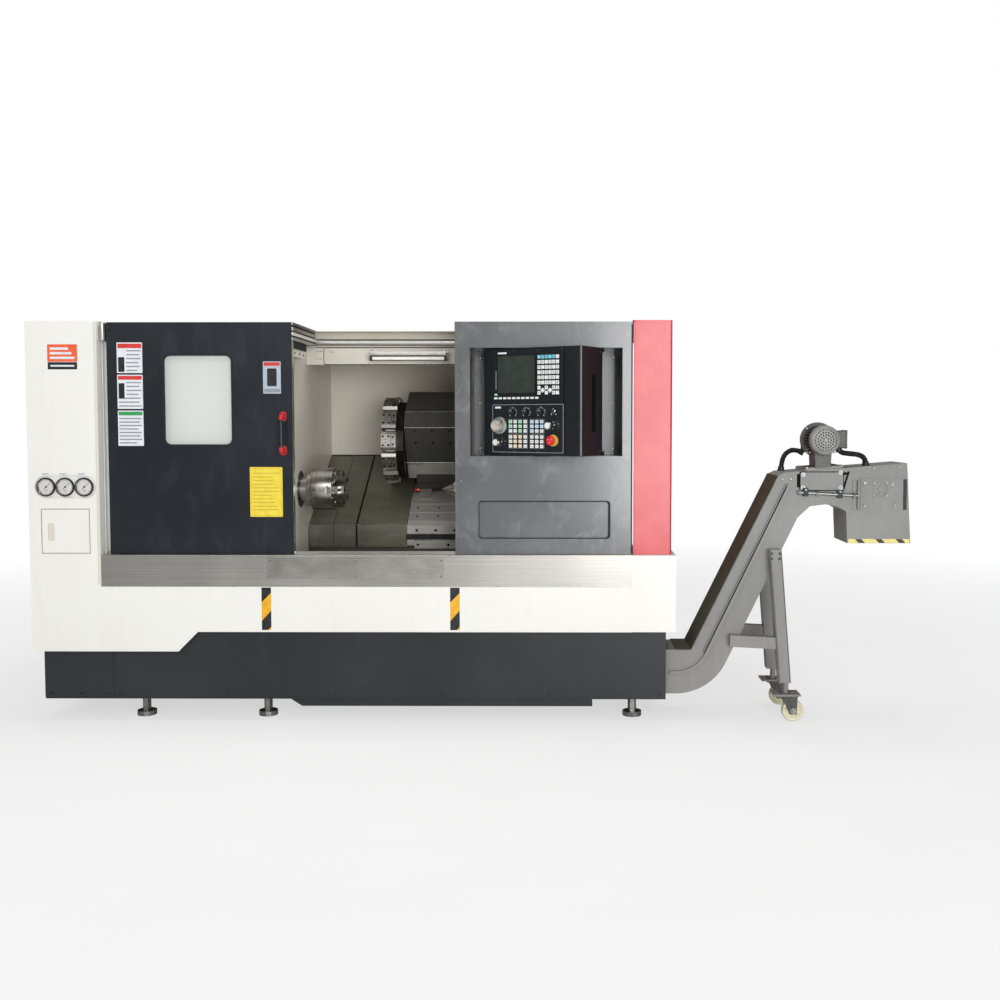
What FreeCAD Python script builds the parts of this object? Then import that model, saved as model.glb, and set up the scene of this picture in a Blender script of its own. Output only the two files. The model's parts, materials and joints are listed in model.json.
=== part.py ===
import FreeCAD, Part
import math
import os

os.makedirs("parts", exist_ok=True)
V = FreeCAD.Vector
X = V(1, 0, 0)
Y = V(0, 1, 0)
Z = V(0, 0, 1)

# All sizes are in millimetres. While modelling, x runs right from the machine's left edge,
# y runs back from the plane of the front cover, and z runs up from the floor.

# enclosure
machine_length = 2983
enclosure_top = 1852
enclosure_back = 1450
cabinet_width = 328
end_box_width = 203
sill_top = 778
strip_height = 147
band_height = 207
band_drop = 95
band_step_left = 680
sheet = 2.5
fold = 45
panel_front = 40
door_gap_left = 30
door_width = 855
door_thickness = 35
opening_right = machine_length - 1020
plinth_inset_left = 42
plinth_inset_right = 42
plinth_front = 30
plinth_bottom = 100
plinth_back = 1400
beam_front = 560
beam_depth = 85.5
beam_height = 130
beam_drop = 40
fixed_drop = 87
roof_depth = 78
rear_wall_front = 1157.5
rear_wall_bottom = 1205

# spindle line and slant bed
spindle_y = 410
spindle_z = 1058
slant = 30
bore_radius = 33
journal_radius = 60
nose_radius = 85
chuck_radius = 105
chuck_left = 1228
chuck_length = 103
jaw_reach = 56
jaw_width = 30
running_gap = 0.05
way_level = -300
way_height = 30
deck_rise = 59
bed_left = 400
turret_u = 473
disc_thickness = 36
station_count = 12
station_radius = 224
block_root = 122
block_width = 92
block_root_width = 56
block_length = 75
tool_bore_radius = 16
carriage_left = 1650
carriage_length = 410
tail_left = machine_length - 973
tail_length = 320
centre_tip = tail_left - 149
quill_radius = 45

# operator's panel
panel_pivot_x = machine_length - 615
panel_pivot_y = 50
panel_turn = 31
panel_width = 524
panel_depth = 203
panel_height = 490
panel_corner = 8
recess_room_left = 336
recess_room_right = 369
recess_room_height = 5.5
recess_drop = 118
recess_depth = 335

# chip conveyor
conveyor_front = 65
conveyor_width = 236
incline_angle = 64.3
incline_run = 398
head_angle = 4.5
trough_bottom = 119
trough_height = 208
incline_thickness = 173
conveyor_wall = 4
head_length = 598
chute_width = 293
chute_drop = 326
wheel_radius = 50
leg_lean = 4.6

# sizes that follow from those above
end_box_left = machine_length - end_box_width
strip_bottom = sill_top - strip_height
band_bottom = strip_bottom - band_height
band_low_bottom = band_bottom - band_drop
door_left = cabinet_width + door_gap_left
door_right = door_left + door_width
door_top = enclosure_top - 2
fixed_top = enclosure_top - fixed_drop
plinth_left = plinth_inset_left
plinth_right = machine_length - plinth_inset_right
beam_back = beam_front + beam_depth
beam_top = enclosure_top - beam_drop
beam_bottom = beam_top - beam_height
bed_level = way_level - way_height
deck_level = way_level + deck_rise
bed_right = end_box_left - 60
recess_left = panel_pivot_x - recess_room_left
recess_right = panel_pivot_x + recess_room_right
recess_top = enclosure_top - recess_drop
recess_bottom = recess_top - panel_height - 2 * recess_room_height
recess_middle = (recess_bottom + recess_top) / 2
chuck_right = chuck_left + chuck_length
disc_left = carriage_left - 45
swing = math.radians(panel_turn)
front_corner = panel_width / 2 - panel_corner
front_most = panel_pivot_y - front_corner * math.sin(swing) - panel_depth / 2 * math.cos(swing)


def box(x0, x1, y0, y1, z0, z1):
    return Part.makeBox(x1 - x0, y1 - y0, z1 - z0, V(x0, y0, z0))


def rod(radius, start, axis, length):
    return Part.makeCylinder(radius, length, start, axis)


# A closed face through points in a plane. A third number on a point rounds that corner.
def outline(points, place):
    corners = [place(p[0], p[1]) for p in points]
    count = len(points)
    ends = []
    arcs = []
    for i in range(count):
        corner = corners[i]
        radius = points[i][2] if len(points[i]) > 2 else 0
        if not radius:
            ends.append((corner, corner))
            arcs.append(None)
            continue
        before = (corners[i - 1] - corner).normalize()
        after = (corners[(i + 1) % count] - corner).normalize()
        half = before.getAngle(after) / 2
        inward = (before + after).normalize()
        centre = corner + inward * (radius / math.sin(half))
        first = corner + before * (radius / math.tan(half))
        last = corner + after * (radius / math.tan(half))
        ends.append((first, last))
        arcs.append(Part.Arc(first, centre - inward * radius, last).toShape())
    edges = []
    for i in range(count):
        if arcs[i]:
            edges.append(arcs[i])
        start = ends[i][1]
        finish = ends[(i + 1) % count][0]
        if (finish - start).Length > 1e-6:
            edges.append(Part.makeLine(start, finish))
    return Part.Face(Part.Wire(edges))


def prism_x(points, x0, x1):
    return outline(points, lambda a, b: V(x0, a, b)).extrude(X * (x1 - x0))


def prism_y(points, y0, y1):
    return outline(points, lambda a, b: V(a, y0, b)).extrude(Y * (y1 - y0))


def prism_z(points, z0, z1):
    return outline(points, lambda a, b: V(a, b, z0)).extrude(Z * (z1 - z0))


def rounded(a0, a1, b0, b1, radius):
    return [(a0, b0, radius), (a1, b0, radius), (a1, b1, radius), (a0, b1, radius)]


def polygon(a, b, radius, sides, turn=0):
    # corners of a regular polygon, as points for an outline
    angles = [math.radians(turn + 360 / sides * k) for k in range(sides)]
    return [(a + radius * math.cos(angle), b + radius * math.sin(angle)) for angle in angles]


def point(tip, corners):
    # a solid that runs from a flat polygon to a tip
    count = len(corners)
    faces = [Part.Face(Part.makePolygon(corners + corners[:1]))]
    for k in range(count):
        faces.append(Part.Face(Part.makePolygon([tip, corners[k], corners[(k + 1) % count], tip])))
    return Part.Solid(Part.Shell(faces))


def fuse(shapes):
    whole = shapes[0]
    for shape in shapes[1:]:
        whole = whole.fuse(shape)
    return whole.removeSplitter()


def cut(shape, tools):
    for tool in tools:
        shape = shape.cut(tool)
    return shape


def moved(shape, offset):
    copy = shape.copy()
    copy.translate(offset)
    return copy


def turned(shape, centre, axis, angle):
    copy = shape.copy()
    copy.rotate(centre, axis, angle)
    return copy


# Slant parts are drawn along x, up the slope (u) and square to it (v), from the spindle axis.
def slanted(shape):
    copy = shape.copy()
    copy.rotate(V(0, 0, 0), X, slant)
    copy.translate(V(0, spindle_y, spindle_z))
    return copy


def slope_point(u, v):
    angle = math.radians(slant)
    y = spindle_y + u * math.cos(angle) - v * math.sin(angle)
    z = spindle_z + u * math.sin(angle) + v * math.cos(angle)
    return y, z


def folded_strip(points, thickness, x0, x1):
    # a bent sheet: the line through the points, thickened upward or backward, run along x
    count = len(points)
    offsets = []
    for i in range(count):
        sides = []
        if i > 0:
            dy = points[i][0] - points[i - 1][0]
            dz = points[i][1] - points[i - 1][1]
            length = math.hypot(dy, dz)
            sides.append((-dz / length, dy / length))
        if i < count - 1:
            dy = points[i + 1][0] - points[i][0]
            dz = points[i + 1][1] - points[i][1]
            length = math.hypot(dy, dz)
            sides.append((-dz / length, dy / length))
        if len(sides) == 1:
            shift = sides[0]
        else:
            scale = 1 + sides[0][0] * sides[1][0] + sides[0][1] * sides[1][1]
            shift = ((sides[0][0] + sides[1][0]) / scale, (sides[0][1] + sides[1][1]) / scale)
        offsets.append((points[i][0] + shift[0] * thickness, points[i][1] + shift[1] * thickness))
    return prism_x(list(points) + offsets[::-1], x0, x1)


pieces = {}

# ---- bed: one casting with a slant top, two ways and the tailstock's rail on its front
bed_front = 570
bed_back = slope_point(720, bed_level)[0]
seat_u = (bed_front - slope_point(0, bed_level)[0]) / math.cos(math.radians(slant))
bed_front_top = slope_point(seat_u, bed_level)[1]
bed = prism_x(
    [
        (bed_front, plinth_bottom),
        (bed_front, bed_front_top),
        slope_point(720, bed_level),
        (bed_back, plinth_bottom),
    ],
    bed_left,
    bed_right,
)
hollow = prism_x([(650, 160), (650, 690), (1118, 955), (1118, 160)], bed_left - 1, bed_right + 1)
pedestal_right = chuck_left - 108
pedestal = box(bed_left, pedestal_right, 65, bed_front, plinth_bottom, 700)
pedestal_hollow = box(bed_left - 1, pedestal_right - 40, 105, bed_front - 40, 160, 660)
end_plate = box(bed_right - 110, plinth_right - sheet, 65, bed_back, plinth_bottom, trough_bottom)
guard_x = chuck_left - 68
low_way_u = (80, 150)
high_way_u = (560, 640)
ways_left = guard_x + 25
ways = [slanted(box(ways_left, bed_right, u0, u1, bed_level - 1, way_level))
        for u0, u1 in (low_way_u, high_way_u)]
screw_u = 350
screw_v = bed_level + 22
screw_radius = 16
screw_left = guard_x + 57
motor_face = bed_right - 120
pillows = []
for x in (screw_left, motor_face - 60):
    pillow = box(x, x + 46, screw_u - 40, screw_u + 40, bed_level - 1, screw_v + 34)
    eye = polygon(screw_u, screw_v, (screw_radius + running_gap) / math.cos(math.pi / 8), 8)
    pillows.append(slanted(pillow.cut(prism_x(eye, x - 1, x + 50))))
rail_top = 745
rail_bottom = 655
hook_depth = 12
hook_height = 20
hook_lip = 20
rail_left = carriage_left
rail_right = bed_right - 30
rail_depth = 30
tail_rail = box(rail_left, rail_right, bed_front - rail_depth, bed_front, rail_bottom, rail_top)
rail_undercut = box(rail_left - 1, rail_right + 1, bed_front - hook_depth, bed_front,
                    rail_bottom - 1, rail_bottom + hook_height)
tail_rail = tail_rail.cut(rail_undercut)
rear_windows = 4
window_pitch = (bed_right - bed_left) / rear_windows
windows = [box(bed_left + window_pitch * (k + 0.28), bed_left + window_pitch * (k + 0.72),
               1100, bed_back + 1, 300, 800)
           for k in range(rear_windows)]
bed = fuse([bed, pedestal, end_plate, tail_rail] + ways + pillows)
pieces["bed_casting"] = cut(bed, [hollow, pedestal_hollow] + windows)

# ---- levelling feet under the bed
foot_places = [
    (bed_left + 80, 130), (pedestal_right - 60, 130), (plinth_right - 150, 130),
    (bed_left + 80, bed_back - 78), (carriage_left - 50, bed_back - 78), (bed_right - 120, bed_back - 78),
]
foot_pad = 22
feet = []
for foot_x, foot_y in foot_places:
    pad = prism_z(polygon(foot_x, foot_y, 45, 12), 0, foot_pad)
    stud = prism_z(polygon(foot_x, foot_y, 20, 6), foot_pad, plinth_bottom)
    feet.append(pad.fuse(stud))
pieces["levelling_feet"] = Part.makeCompound([foot.removeSplitter() for foot in feet])

# ---- plinth cover: a skirt round the front and the two ends
plinth = box(plinth_left, plinth_right, plinth_front, plinth_back, plinth_bottom, band_bottom - sheet)
plinth_corner = 14
plinth = plinth.makeFillet(plinth_corner, [edge for edge in plinth.Edges
                                           if edge.BoundBox.ZMax < plinth_bottom + 1
                                           and edge.BoundBox.XMax < plinth_left + 1])
plinth_inside = box(plinth_left + sheet, plinth_right - sheet, plinth_front + sheet, plinth_back + 1,
                    plinth_bottom - 1, band_bottom + 1)
conveyor_door = box(plinth_right - 10, plinth_right + 10, 50, 320, plinth_bottom - 1, 350)
pieces["plinth_cover"] = cut(plinth, [plinth_inside, conveyor_door])

# ---- coolant tank: low pan under the trough, sloping up at its left end
tank_left = pedestal_right + 30
tank_top = trough_bottom
tank_bottom = tank_top - 57
tank_wall = 4
tank_right = bed_right - 120
tank_front = 48
tank_back = 560
tank_slope = 90
tank_void = box(tank_left + tank_slope + 20, tank_right - tank_wall,
                tank_front + tank_wall, tank_back - tank_wall,
                tank_bottom + tank_wall, tank_top - tank_wall)
tank = prism_y(
    [
        (tank_left, tank_top),
        (tank_left + tank_slope, tank_bottom),
        (tank_right, tank_bottom),
        (tank_right, tank_top),
    ],
    tank_front,
    tank_back,
)
pieces["coolant_tank"] = tank.cut(tank_void)

# ---- left cabinet: folded sheet with an access opening, three gauges in a recess, and a bar-stock hole
gauge_radius = 42.5
gauge_z = sill_top + 315
gauge_pitch = 88
gauge_x = [cabinet_width / 2 + 10 + offset for offset in (-gauge_pitch, 0, gauge_pitch)]
access_left = 58
access_right = cabinet_width - 48
access_bottom = sill_top + 8
access_top = access_bottom + 205
cabinet = fuse([
    box(0, cabinet_width, 0, sheet, band_low_bottom, enclosure_top),
    box(0, sheet, 0, enclosure_back, band_low_bottom, enclosure_top),
    box(cabinet_width - sheet, cabinet_width, 0, 76, band_bottom, enclosure_top),
    box(0, cabinet_width, 0, enclosure_back, enclosure_top - sheet, enclosure_top),
    box(0, cabinet_width, 0, plinth_front, band_low_bottom, band_low_bottom + sheet),
    box(0, plinth_left, 0, enclosure_back - sheet, band_low_bottom, band_low_bottom + sheet),
])
slot_half = gauge_radius + 9.5
slot_left = gauge_x[0] - slot_half - 4
slot_right = gauge_x[2] + slot_half + 4
slot_outline = rounded(slot_left, slot_right, gauge_z - slot_half, gauge_z + slot_half, slot_half - 0.1)
gauge_floor = 12
gauge_slot = prism_y(slot_outline, -1, sheet + 1)
gauge_pan = box(slot_left - 8, slot_right + 4, sheet, gauge_floor + 2,
                gauge_z - slot_half - 8, gauge_z + slot_half + 8)
gauge_pan = gauge_pan.cut(prism_y(slot_outline, 0, gauge_floor))
access_hole = box(access_left, access_right, -1, sheet + 1, access_bottom, access_top)
access_frame = box(access_left - 14, access_right + 14, sheet, 12, access_bottom - 14, access_top + 14)
access_frame = access_frame.cut(box(access_left + 10, access_right - 10, 0, 13,
                                    access_bottom + 10, access_top - 10))
gauges = [prism_y(polygon(x, gauge_z, gauge_radius, 24), -4, gauge_floor + 1) for x in gauge_x]
bar_hole_radius = 45
bar_hole = prism_x(polygon(spindle_y, spindle_z, bar_hole_radius, 24), -1, sheet + 1)
cabinet = cut(cabinet, [gauge_slot, access_hole, bar_hole])
pieces["left_cabinet"] = fuse([cabinet, gauge_pan, access_frame] + gauges)

# ---- access door with a finger pull
door_gap = 1.5
pull_left = access_left + 28
pull_right = pull_left + 31
pull_bottom = access_bottom + 57
pull_top = pull_bottom + 84
access = box(access_left + door_gap, access_right - door_gap, 0, 8,
             access_bottom + door_gap, access_top - door_gap)
pull = [(pull_left + 9, pull_bottom), (pull_right - 9, pull_bottom),
        (pull_right, pull_bottom + 9), (pull_right, pull_top - 9),
        (pull_right - 9, pull_top), (pull_left + 9, pull_top),
        (pull_left, pull_top - 9), (pull_left, pull_bottom + 9)]
access = access.cut(prism_y(pull, -1, 5))
pieces["access_door"] = access
access_frame_cut = box(access_left, access_right, 2, 8.3, access_bottom, access_top)
pieces["left_cabinet"] = pieces["left_cabinet"].cut(access_frame_cut)

# ---- lower front cover, stepped at its left end
band = [
    (cabinet_width, band_low_bottom),
    (band_step_left, band_low_bottom),
    (band_step_left + band_drop, band_bottom),
    (end_box_left, band_bottom),
    (end_box_left, strip_bottom),
    (cabinet_width, strip_bottom),
]
cover = fuse([
    prism_y(band, 0, sheet),
    box(cabinet_width, band_step_left, 0, plinth_front, band_low_bottom, band_low_bottom + sheet),
    box(band_step_left + band_drop, end_box_left, 0, fold, band_bottom - sheet, band_bottom),
    box(cabinet_width, end_box_left, 0, fold, strip_bottom - sheet, strip_bottom),
])
pieces["lower_front_cover"] = cover

# ---- steel sill strip with the ledge that the door runs on
ledge = 90
pieces["sill_strip"] = fuse([
    box(cabinet_width, end_box_left, 0, sheet, strip_bottom, sill_top),
    box(cabinet_width, end_box_left, 0, ledge, sill_top - sheet, sill_top),
    box(cabinet_width, end_box_left, 0, fold, strip_bottom, strip_bottom + sheet),
])

# ---- right end: low box and red cover over it
end_box_bottom = band_bottom - sheet
end_box = box(end_box_left, machine_length, 0, 420, end_box_bottom, sill_top)
end_box = end_box.cut(box(end_box_left + sheet, machine_length - sheet, sheet, 421,
                          band_bottom, sill_top - sheet))
pieces["right_end_box"] = end_box
red_left = end_box_left + 2
red_right = machine_length - 19
red_top = enclosure_top + 6
red = box(red_left, red_right, plinth_front, enclosure_back, sill_top, red_top)
red_corner = 12
red = red.makeFillet(red_corner, [edge for edge in red.Edges
                                  if edge.BoundBox.ZLength > red_top - sill_top - 1
                                  and edge.BoundBox.YMax < plinth_front + 1])
red = red.cut(box(red_left - 1, red_right - sheet, plinth_front + sheet, enclosure_back + 1,
                  sill_top - 1, red_top - sheet))
pieces["red_end_cover"] = red

# ---- fixed front panel round the operator's panel, with a pressed pocket
pocket_left = recess_left + 37
pocket_right = recess_right - 54
pocket_bottom = sill_top + 71
pocket_top = pocket_bottom + 180
pocket_corner = 18
pocket_depth = 18
front_panel = fuse([
    box(opening_right, red_left, panel_front, panel_front + sheet, sill_top, enclosure_top),
    box(opening_right, opening_right + sheet, panel_front, 118, sill_top, enclosure_top),
    box(opening_right, red_left, panel_front, beam_front, enclosure_top - sheet, enclosure_top),
    prism_y(rounded(pocket_left - sheet, pocket_right + sheet, pocket_bottom - sheet, pocket_top + sheet,
                    pocket_corner + sheet), panel_front, panel_front + pocket_depth + sheet),
])
pocket_space = prism_y(rounded(pocket_left, pocket_right, pocket_bottom, pocket_top, pocket_corner),
                       panel_front - 1, panel_front + pocket_depth)
recess_hole = box(recess_left, recess_right, panel_front - 1, panel_front + sheet + 1,
                  recess_bottom, recess_top)
pieces["right_front_panel"] = cut(front_panel, [pocket_space, recess_hole])

# ---- pan that the operator's panel stands in
pan = box(recess_left - sheet, recess_right + sheet, panel_front + sheet, panel_front + recess_depth,
          recess_bottom - sheet, recess_top + sheet)
pieces["control_recess"] = pan.cut(box(recess_left, recess_right, 0, panel_front + recess_depth - sheet,
                                       recess_bottom, recess_top))

# ---- fixed panel behind the door, folded back over the headstock
inner_y = 84
pieces["fixed_left_panel"] = fuse([
    box(cabinet_width, guard_x - 5, inner_y, inner_y + sheet, sill_top, fixed_top),
    box(cabinet_width, guard_x - 5, inner_y, beam_front, fixed_top - sheet, fixed_top),
    box(cabinet_width, cabinet_width + sheet, 60, inner_y + sheet, sill_top, fixed_top),
])

# ---- rear enclosure: back wall, roof from the beam back, and the inner rear wall hanging from the roof
beam_left = cabinet_width + 7
pieces["rear_enclosure"] = fuse([
    box(sheet, red_left, enclosure_back - sheet, enclosure_back, plinth_bottom, enclosure_top - sheet),
    box(cabinet_width, red_left, beam_front, enclosure_back, enclosure_top - sheet, enclosure_top),
    box(beam_left, red_left, rear_wall_front, rear_wall_front + sheet, rear_wall_bottom, enclosure_top - 1),
])

# ---- beam across the roof opening's rear edge, hanging from the roof
beam = box(beam_left, red_left, beam_front, beam_back, beam_bottom, beam_top)
beam = beam.cut(box(beam_left - 1, red_left + 1, beam_front + sheet, beam_back - sheet,
                    beam_bottom + sheet, beam_top - sheet))
pieces["rear_beam"] = fuse([
    beam,
    box(beam_left, red_left, beam_back - 12, beam_back, beam_top - 1, enclosure_top - sheet),
])

# ---- headstock guard: sheet with the hole that the chuck stands out of
guard_level = deck_level - 5
guard_low = slope_point(20, guard_level)
guard_high = slope_point(700, guard_level)
guard_bottom = sill_top - 73
guard = prism_x(
    [
        (ledge, guard_bottom),
        (ledge, fixed_top - 3),
        (beam_front, fixed_top - 3),
        (beam_front, beam_bottom),
        (beam_back, beam_bottom),
        (beam_back, enclosure_top - sheet),
        (rear_wall_front, enclosure_top - sheet),
        (rear_wall_front, guard_high[1] + 12),
        guard_high,
        guard_low,
        (guard_low[0], guard_bottom),
    ],
    guard_x,
    guard_x + 3,
)
guard = guard.cut(prism_x(polygon(spindle_y, spindle_z, nose_radius + 8, 24), guard_x - 1, guard_x + 4))
pieces["headstock_guard"] = guard

# ---- chip tray: slopes to the trough from the front and from the bed
trough_open_front = conveyor_front + 14
trough_open_back = conveyor_front + conveyor_width - 14
tray_start = pedestal_right + 4
tray_end = bed_right
tray_z = trough_bottom + trough_height
front_line = [(fold, strip_bottom), (fold, strip_bottom - 30), (trough_open_front, tray_z + 30),
              (trough_open_front, tray_z)]
front_slope = folded_strip(front_line, sheet, tray_start, tray_end)
back_line = [(trough_open_back, tray_z), (trough_open_back, tray_z + 12), (bed_front, 590),
             (bed_front, rail_bottom - hook_lip - 5)]
back_slope = folded_strip(back_line, sheet, tray_start, tray_end)
tray_left = box(tray_start - 2, tray_start, fold, bed_front, tray_z, strip_bottom)
tray_right = box(tray_end, tray_end + 2, fold, bed_front, tray_z, strip_bottom)
pieces["chip_tray"] = fuse([front_slope, back_slope, tray_left, tray_right])

# ---- door rails: tube on the rear beam, flat guide on the sill
tube_radius = 12.5
tube_z = beam_top - 23
tube_y = beam_front - tube_radius
rail_end = opening_right - 2
rail_start = cabinet_width + 12
top_rail = prism_x(polygon(tube_y, tube_z, tube_radius, 16), rail_start, rail_end)
rail_lugs = [box(x, x + 40, tube_y, beam_front, tube_z - 8, tube_z + 8)
             for x in (rail_start + 5, door_right + 27, rail_end - 51)]
low_rail_front = 54
low_rail_back = 60
low_rail_top = sill_top + 12
low_rail = box(rail_start + 5, rail_end, low_rail_front, low_rail_back, sill_top, low_rail_top)
pieces["door_rails"] = Part.makeCompound([fuse([top_rail] + rail_lugs), low_rail])

# ---- work lamp under the beam
lamp_y = beam_front - 40
lamp_z = beam_bottom + 40
lamp_left = 1489
lamp_length = 393
lamp_end = 16
lamp_radius = 19
lamp_half = 24
lamp_right = lamp_left + lamp_length
lamp_tube = prism_x(polygon(lamp_y, lamp_z, lamp_radius, 12),
                    lamp_left + lamp_end - 2, lamp_right - lamp_end + 2)
lamp_ends = [box(x, x + lamp_end, lamp_y - lamp_half, beam_front, lamp_z - lamp_half, lamp_z + lamp_half)
             for x in (lamp_left, lamp_right - lamp_end)]
pieces["work_lamp"] = fuse([lamp_tube] + lamp_ends)

# ---- headstock, bolted to the slant of the bed
headstock_left = chuck_left - 568
headstock_side = [
    (-160, -120), (-120, -160), (seat_u, -250), (seat_u, bed_level), (430, bed_level),
    (430, -80), (165, 145), (145, 165), (-140, 165), (-160, 145),
]
headstock = slanted(prism_x(headstock_side, headstock_left, guard_x))
spindle_hole = rod(journal_radius + running_gap, V(headstock_left - 1, spindle_y, spindle_z), X, chuck_left)
nose_left = chuck_left - 25
nose_pocket = rod(nose_radius + 0.4, V(nose_left - 4, spindle_y, spindle_z), X, chuck_left)
pieces["headstock_casting"] = cut(headstock, [spindle_hole, nose_pocket])

# ---- spindle motor built round the spindle's tail
motor_left = headstock_left - 230
motor_half = 165
rotor_gap = 1.5
motor = slanted(box(motor_left, headstock_left, -motor_half, motor_half, -motor_half, motor_half))
rotor_space = prism_x(polygon(spindle_y, spindle_z, journal_radius + rotor_gap, 24),
                      motor_left - 1, headstock_left + 1)
pieces["spindle_motor"] = motor.cut(rotor_space)

# ---- spindle with its nose, bored through for bar
spindle_left = motor_left - 50
spindle = fuse([
    rod(journal_radius, V(spindle_left, spindle_y, spindle_z), X, nose_left + 2 - spindle_left),
    rod(nose_radius, V(nose_left, spindle_y, spindle_z), X, chuck_left - nose_left),
])
bore = rod(bore_radius, V(spindle_left - 1, spindle_y, spindle_z), X, chuck_right)
pieces["spindle"] = spindle.cut(bore)

# ---- three-jaw chuck: body with T-slots, and three stepped jaws
chuck = rod(chuck_radius, V(chuck_left, spindle_y, spindle_z), X, chuck_length)
slot_gap = running_gap
slot_depth = 26
slot_root = bore_radius + 1
jaw_root = bore_radius + 5
jaw_step = jaw_root + 26
jaw_outer = chuck_radius - 6
jaw_base = chuck_right + 0.3
jaw_end = chuck_right + jaw_reach
jaw_shelf = jaw_end - 22
jaws = []
slots = []
for k in range(3):
    turn = 90 + 120 * k
    half = jaw_width / 2
    slot = fuse([
        box(chuck_right - slot_depth, chuck_right + 1, -half - slot_gap, half + slot_gap,
            slot_root, chuck_radius + 1),
        box(chuck_right - slot_depth, chuck_right - slot_depth + 11, -half - 6, half + 6,
            slot_root, chuck_radius + 1),
    ])
    jaw = fuse([
        box(chuck_right - slot_depth + slot_gap, chuck_right + 12, -half, half, slot_root + 7, jaw_outer),
        box(chuck_right - slot_depth + slot_gap, chuck_right - slot_depth + 10.9, -half - 5.9, half + 5.9,
            slot_root + 7, jaw_outer),
        prism_y([(jaw_base, jaw_root), (jaw_end, jaw_root), (jaw_end, jaw_step), (jaw_shelf, jaw_step),
                 (jaw_shelf, jaw_outer), (jaw_base, jaw_outer)], -half - 3, half + 3),
    ])
    slots.append(moved(turned(slot, V(0, 0, 0), X, turn), V(0, spindle_y, spindle_z)))
    jaws.append(moved(turned(jaw, V(0, 0, 0), X, turn), V(0, spindle_y, spindle_z)))
chuck = cut(chuck, slots + [rod(bore_radius, V(chuck_left - 1, spindle_y, spindle_z), X, 200)])
pieces["chuck_body"] = chuck
for k in range(3):
    pieces["chuck_jaw_%d" % (k + 1)] = jaws[k]

# ---- telescopic bed covers: each a plate on the slope with a lip hanging at the front
cover_thickness = 2.5


def bed_cover(x0, x1, level, lip_y, lip_bottom, top_u):
    angle = math.radians(slant)
    front_u = (lip_y - spindle_y + level * math.sin(angle)) / math.cos(angle)
    points = [(lip_y, lip_bottom), slope_point(front_u, level), slope_point(top_u, level)]
    return folded_strip(points, -cover_thickness, x0, x1)


cover_gap = 0.3
front_level = deck_level + cover_thickness
cover_step = cover_thickness + cover_gap
lip_front = bed_front - 15
lip_bottom = rail_top + 7
cover_top_u = high_way_u[1] + 60
cover_spans = [
    ("bed_cover_front", carriage_left - 245, carriage_left + 20),
    ("bed_cover_middle", carriage_left - 360, carriage_left - 75),
    ("bed_cover_fixed", guard_x + 3, carriage_left - 150),
]
for k, (cover_name, cover_left, cover_right) in enumerate(cover_spans):
    pieces[cover_name] = bed_cover(cover_left, cover_right, front_level - k * cover_step,
                                   lip_front + k * cover_step, lip_bottom, cover_top_u)

# ---- carriage on the ways, with the cross ways and the stepped cover in front of them
carriage_right = carriage_left + carriage_length
carriage_top_u = cover_top_u
skirt_low_u = low_way_u[0] - 20
low_guide = low_way_u[0] - running_gap
high_guide = high_way_u[1] + running_gap
carriage = fuse([
    box(carriage_left, carriage_right, skirt_low_u, carriage_top_u, way_level, deck_level),
    box(carriage_left, carriage_right, skirt_low_u, low_guide, bed_level + 2, way_level + 1),
    box(carriage_left, carriage_right, high_guide, carriage_top_u, bed_level + 2, way_level + 1),
    box(carriage_left + 20, carriage_right, skirt_low_u, carriage_top_u, deck_level - 1, front_level),
])
step_rise = 5
steps = [box(carriage_left + 20, carriage_right, skirt_low_u + 70 * k, skirt_low_u + 240,
             front_level - 1, front_level + step_rise * (k + 1)) for k in range(3)]
cross_level = deck_level + 22
cross_ways = [box(x, x + 60, skirt_low_u + 180, carriage_top_u, deck_level - 1, cross_level)
              for x in (carriage_left + 60, carriage_right - 100)]
apron_y = lip_front - 5
apron_u = skirt_low_u + 2
apron = folded_strip([(apron_y, rail_top + 15), (apron_y, slope_point(30, deck_level + 7)[1] - 8),
                      slope_point(apron_u, deck_level + 6)], -6, carriage_left + 20, carriage_right)
pieces["carriage"] = slanted(fuse([carriage] + steps + cross_ways))
pieces["carriage"] = pieces["carriage"].fuse(apron).removeSplitter()

# ---- cross-slide with the turret housing on it
slide_left = carriage_left + 40
slide_right = carriage_right - 20
housing_left = disc_left + disc_thickness + 3
housing_top = 200
housing_low_u = turret_u - 128
housing_high_u = turret_u + 167
hub_radius = 45
hub_length = 90
slide_top = cross_level + 30
saddle_top = slide_top + 55
cross = fuse([
    box(slide_left, slide_right, turret_u - 143, turret_u + 197, cross_level + running_gap, slide_top),
    box(slide_left, slide_right - 30, turret_u - 133, turret_u + 177, slide_top - 1, saddle_top),
    prism_x([(housing_low_u, saddle_top - 1), (housing_low_u, housing_top - 46),
             (housing_low_u + 80, housing_top), (housing_high_u, housing_top),
             (housing_high_u, saddle_top - 1)], housing_left, slide_right - 60),
])
hub_space = rod(hub_radius + running_gap, V(housing_left - 1, turret_u, 0), X, hub_length + 2)
pieces["cross_slide"] = slanted(cross.cut(hub_space))

# ---- turret disc: flats for the stations, hub in the housing
disc_corner = station_radius - 19
flat_turn = 180 / station_count
disc = prism_x(polygon(turret_u, 0, disc_corner, station_count, flat_turn),
               disc_left, disc_left + disc_thickness)
hub = rod(hub_radius, V(disc_left + disc_thickness - 1, turret_u, 0), X, hub_length)
cap = prism_x(polygon(turret_u, 0, 60, station_count, flat_turn), disc_left - 14, disc_left + 1)
pieces["turret_disc"] = slanted(fuse([disc, hub, cap]))

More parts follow.
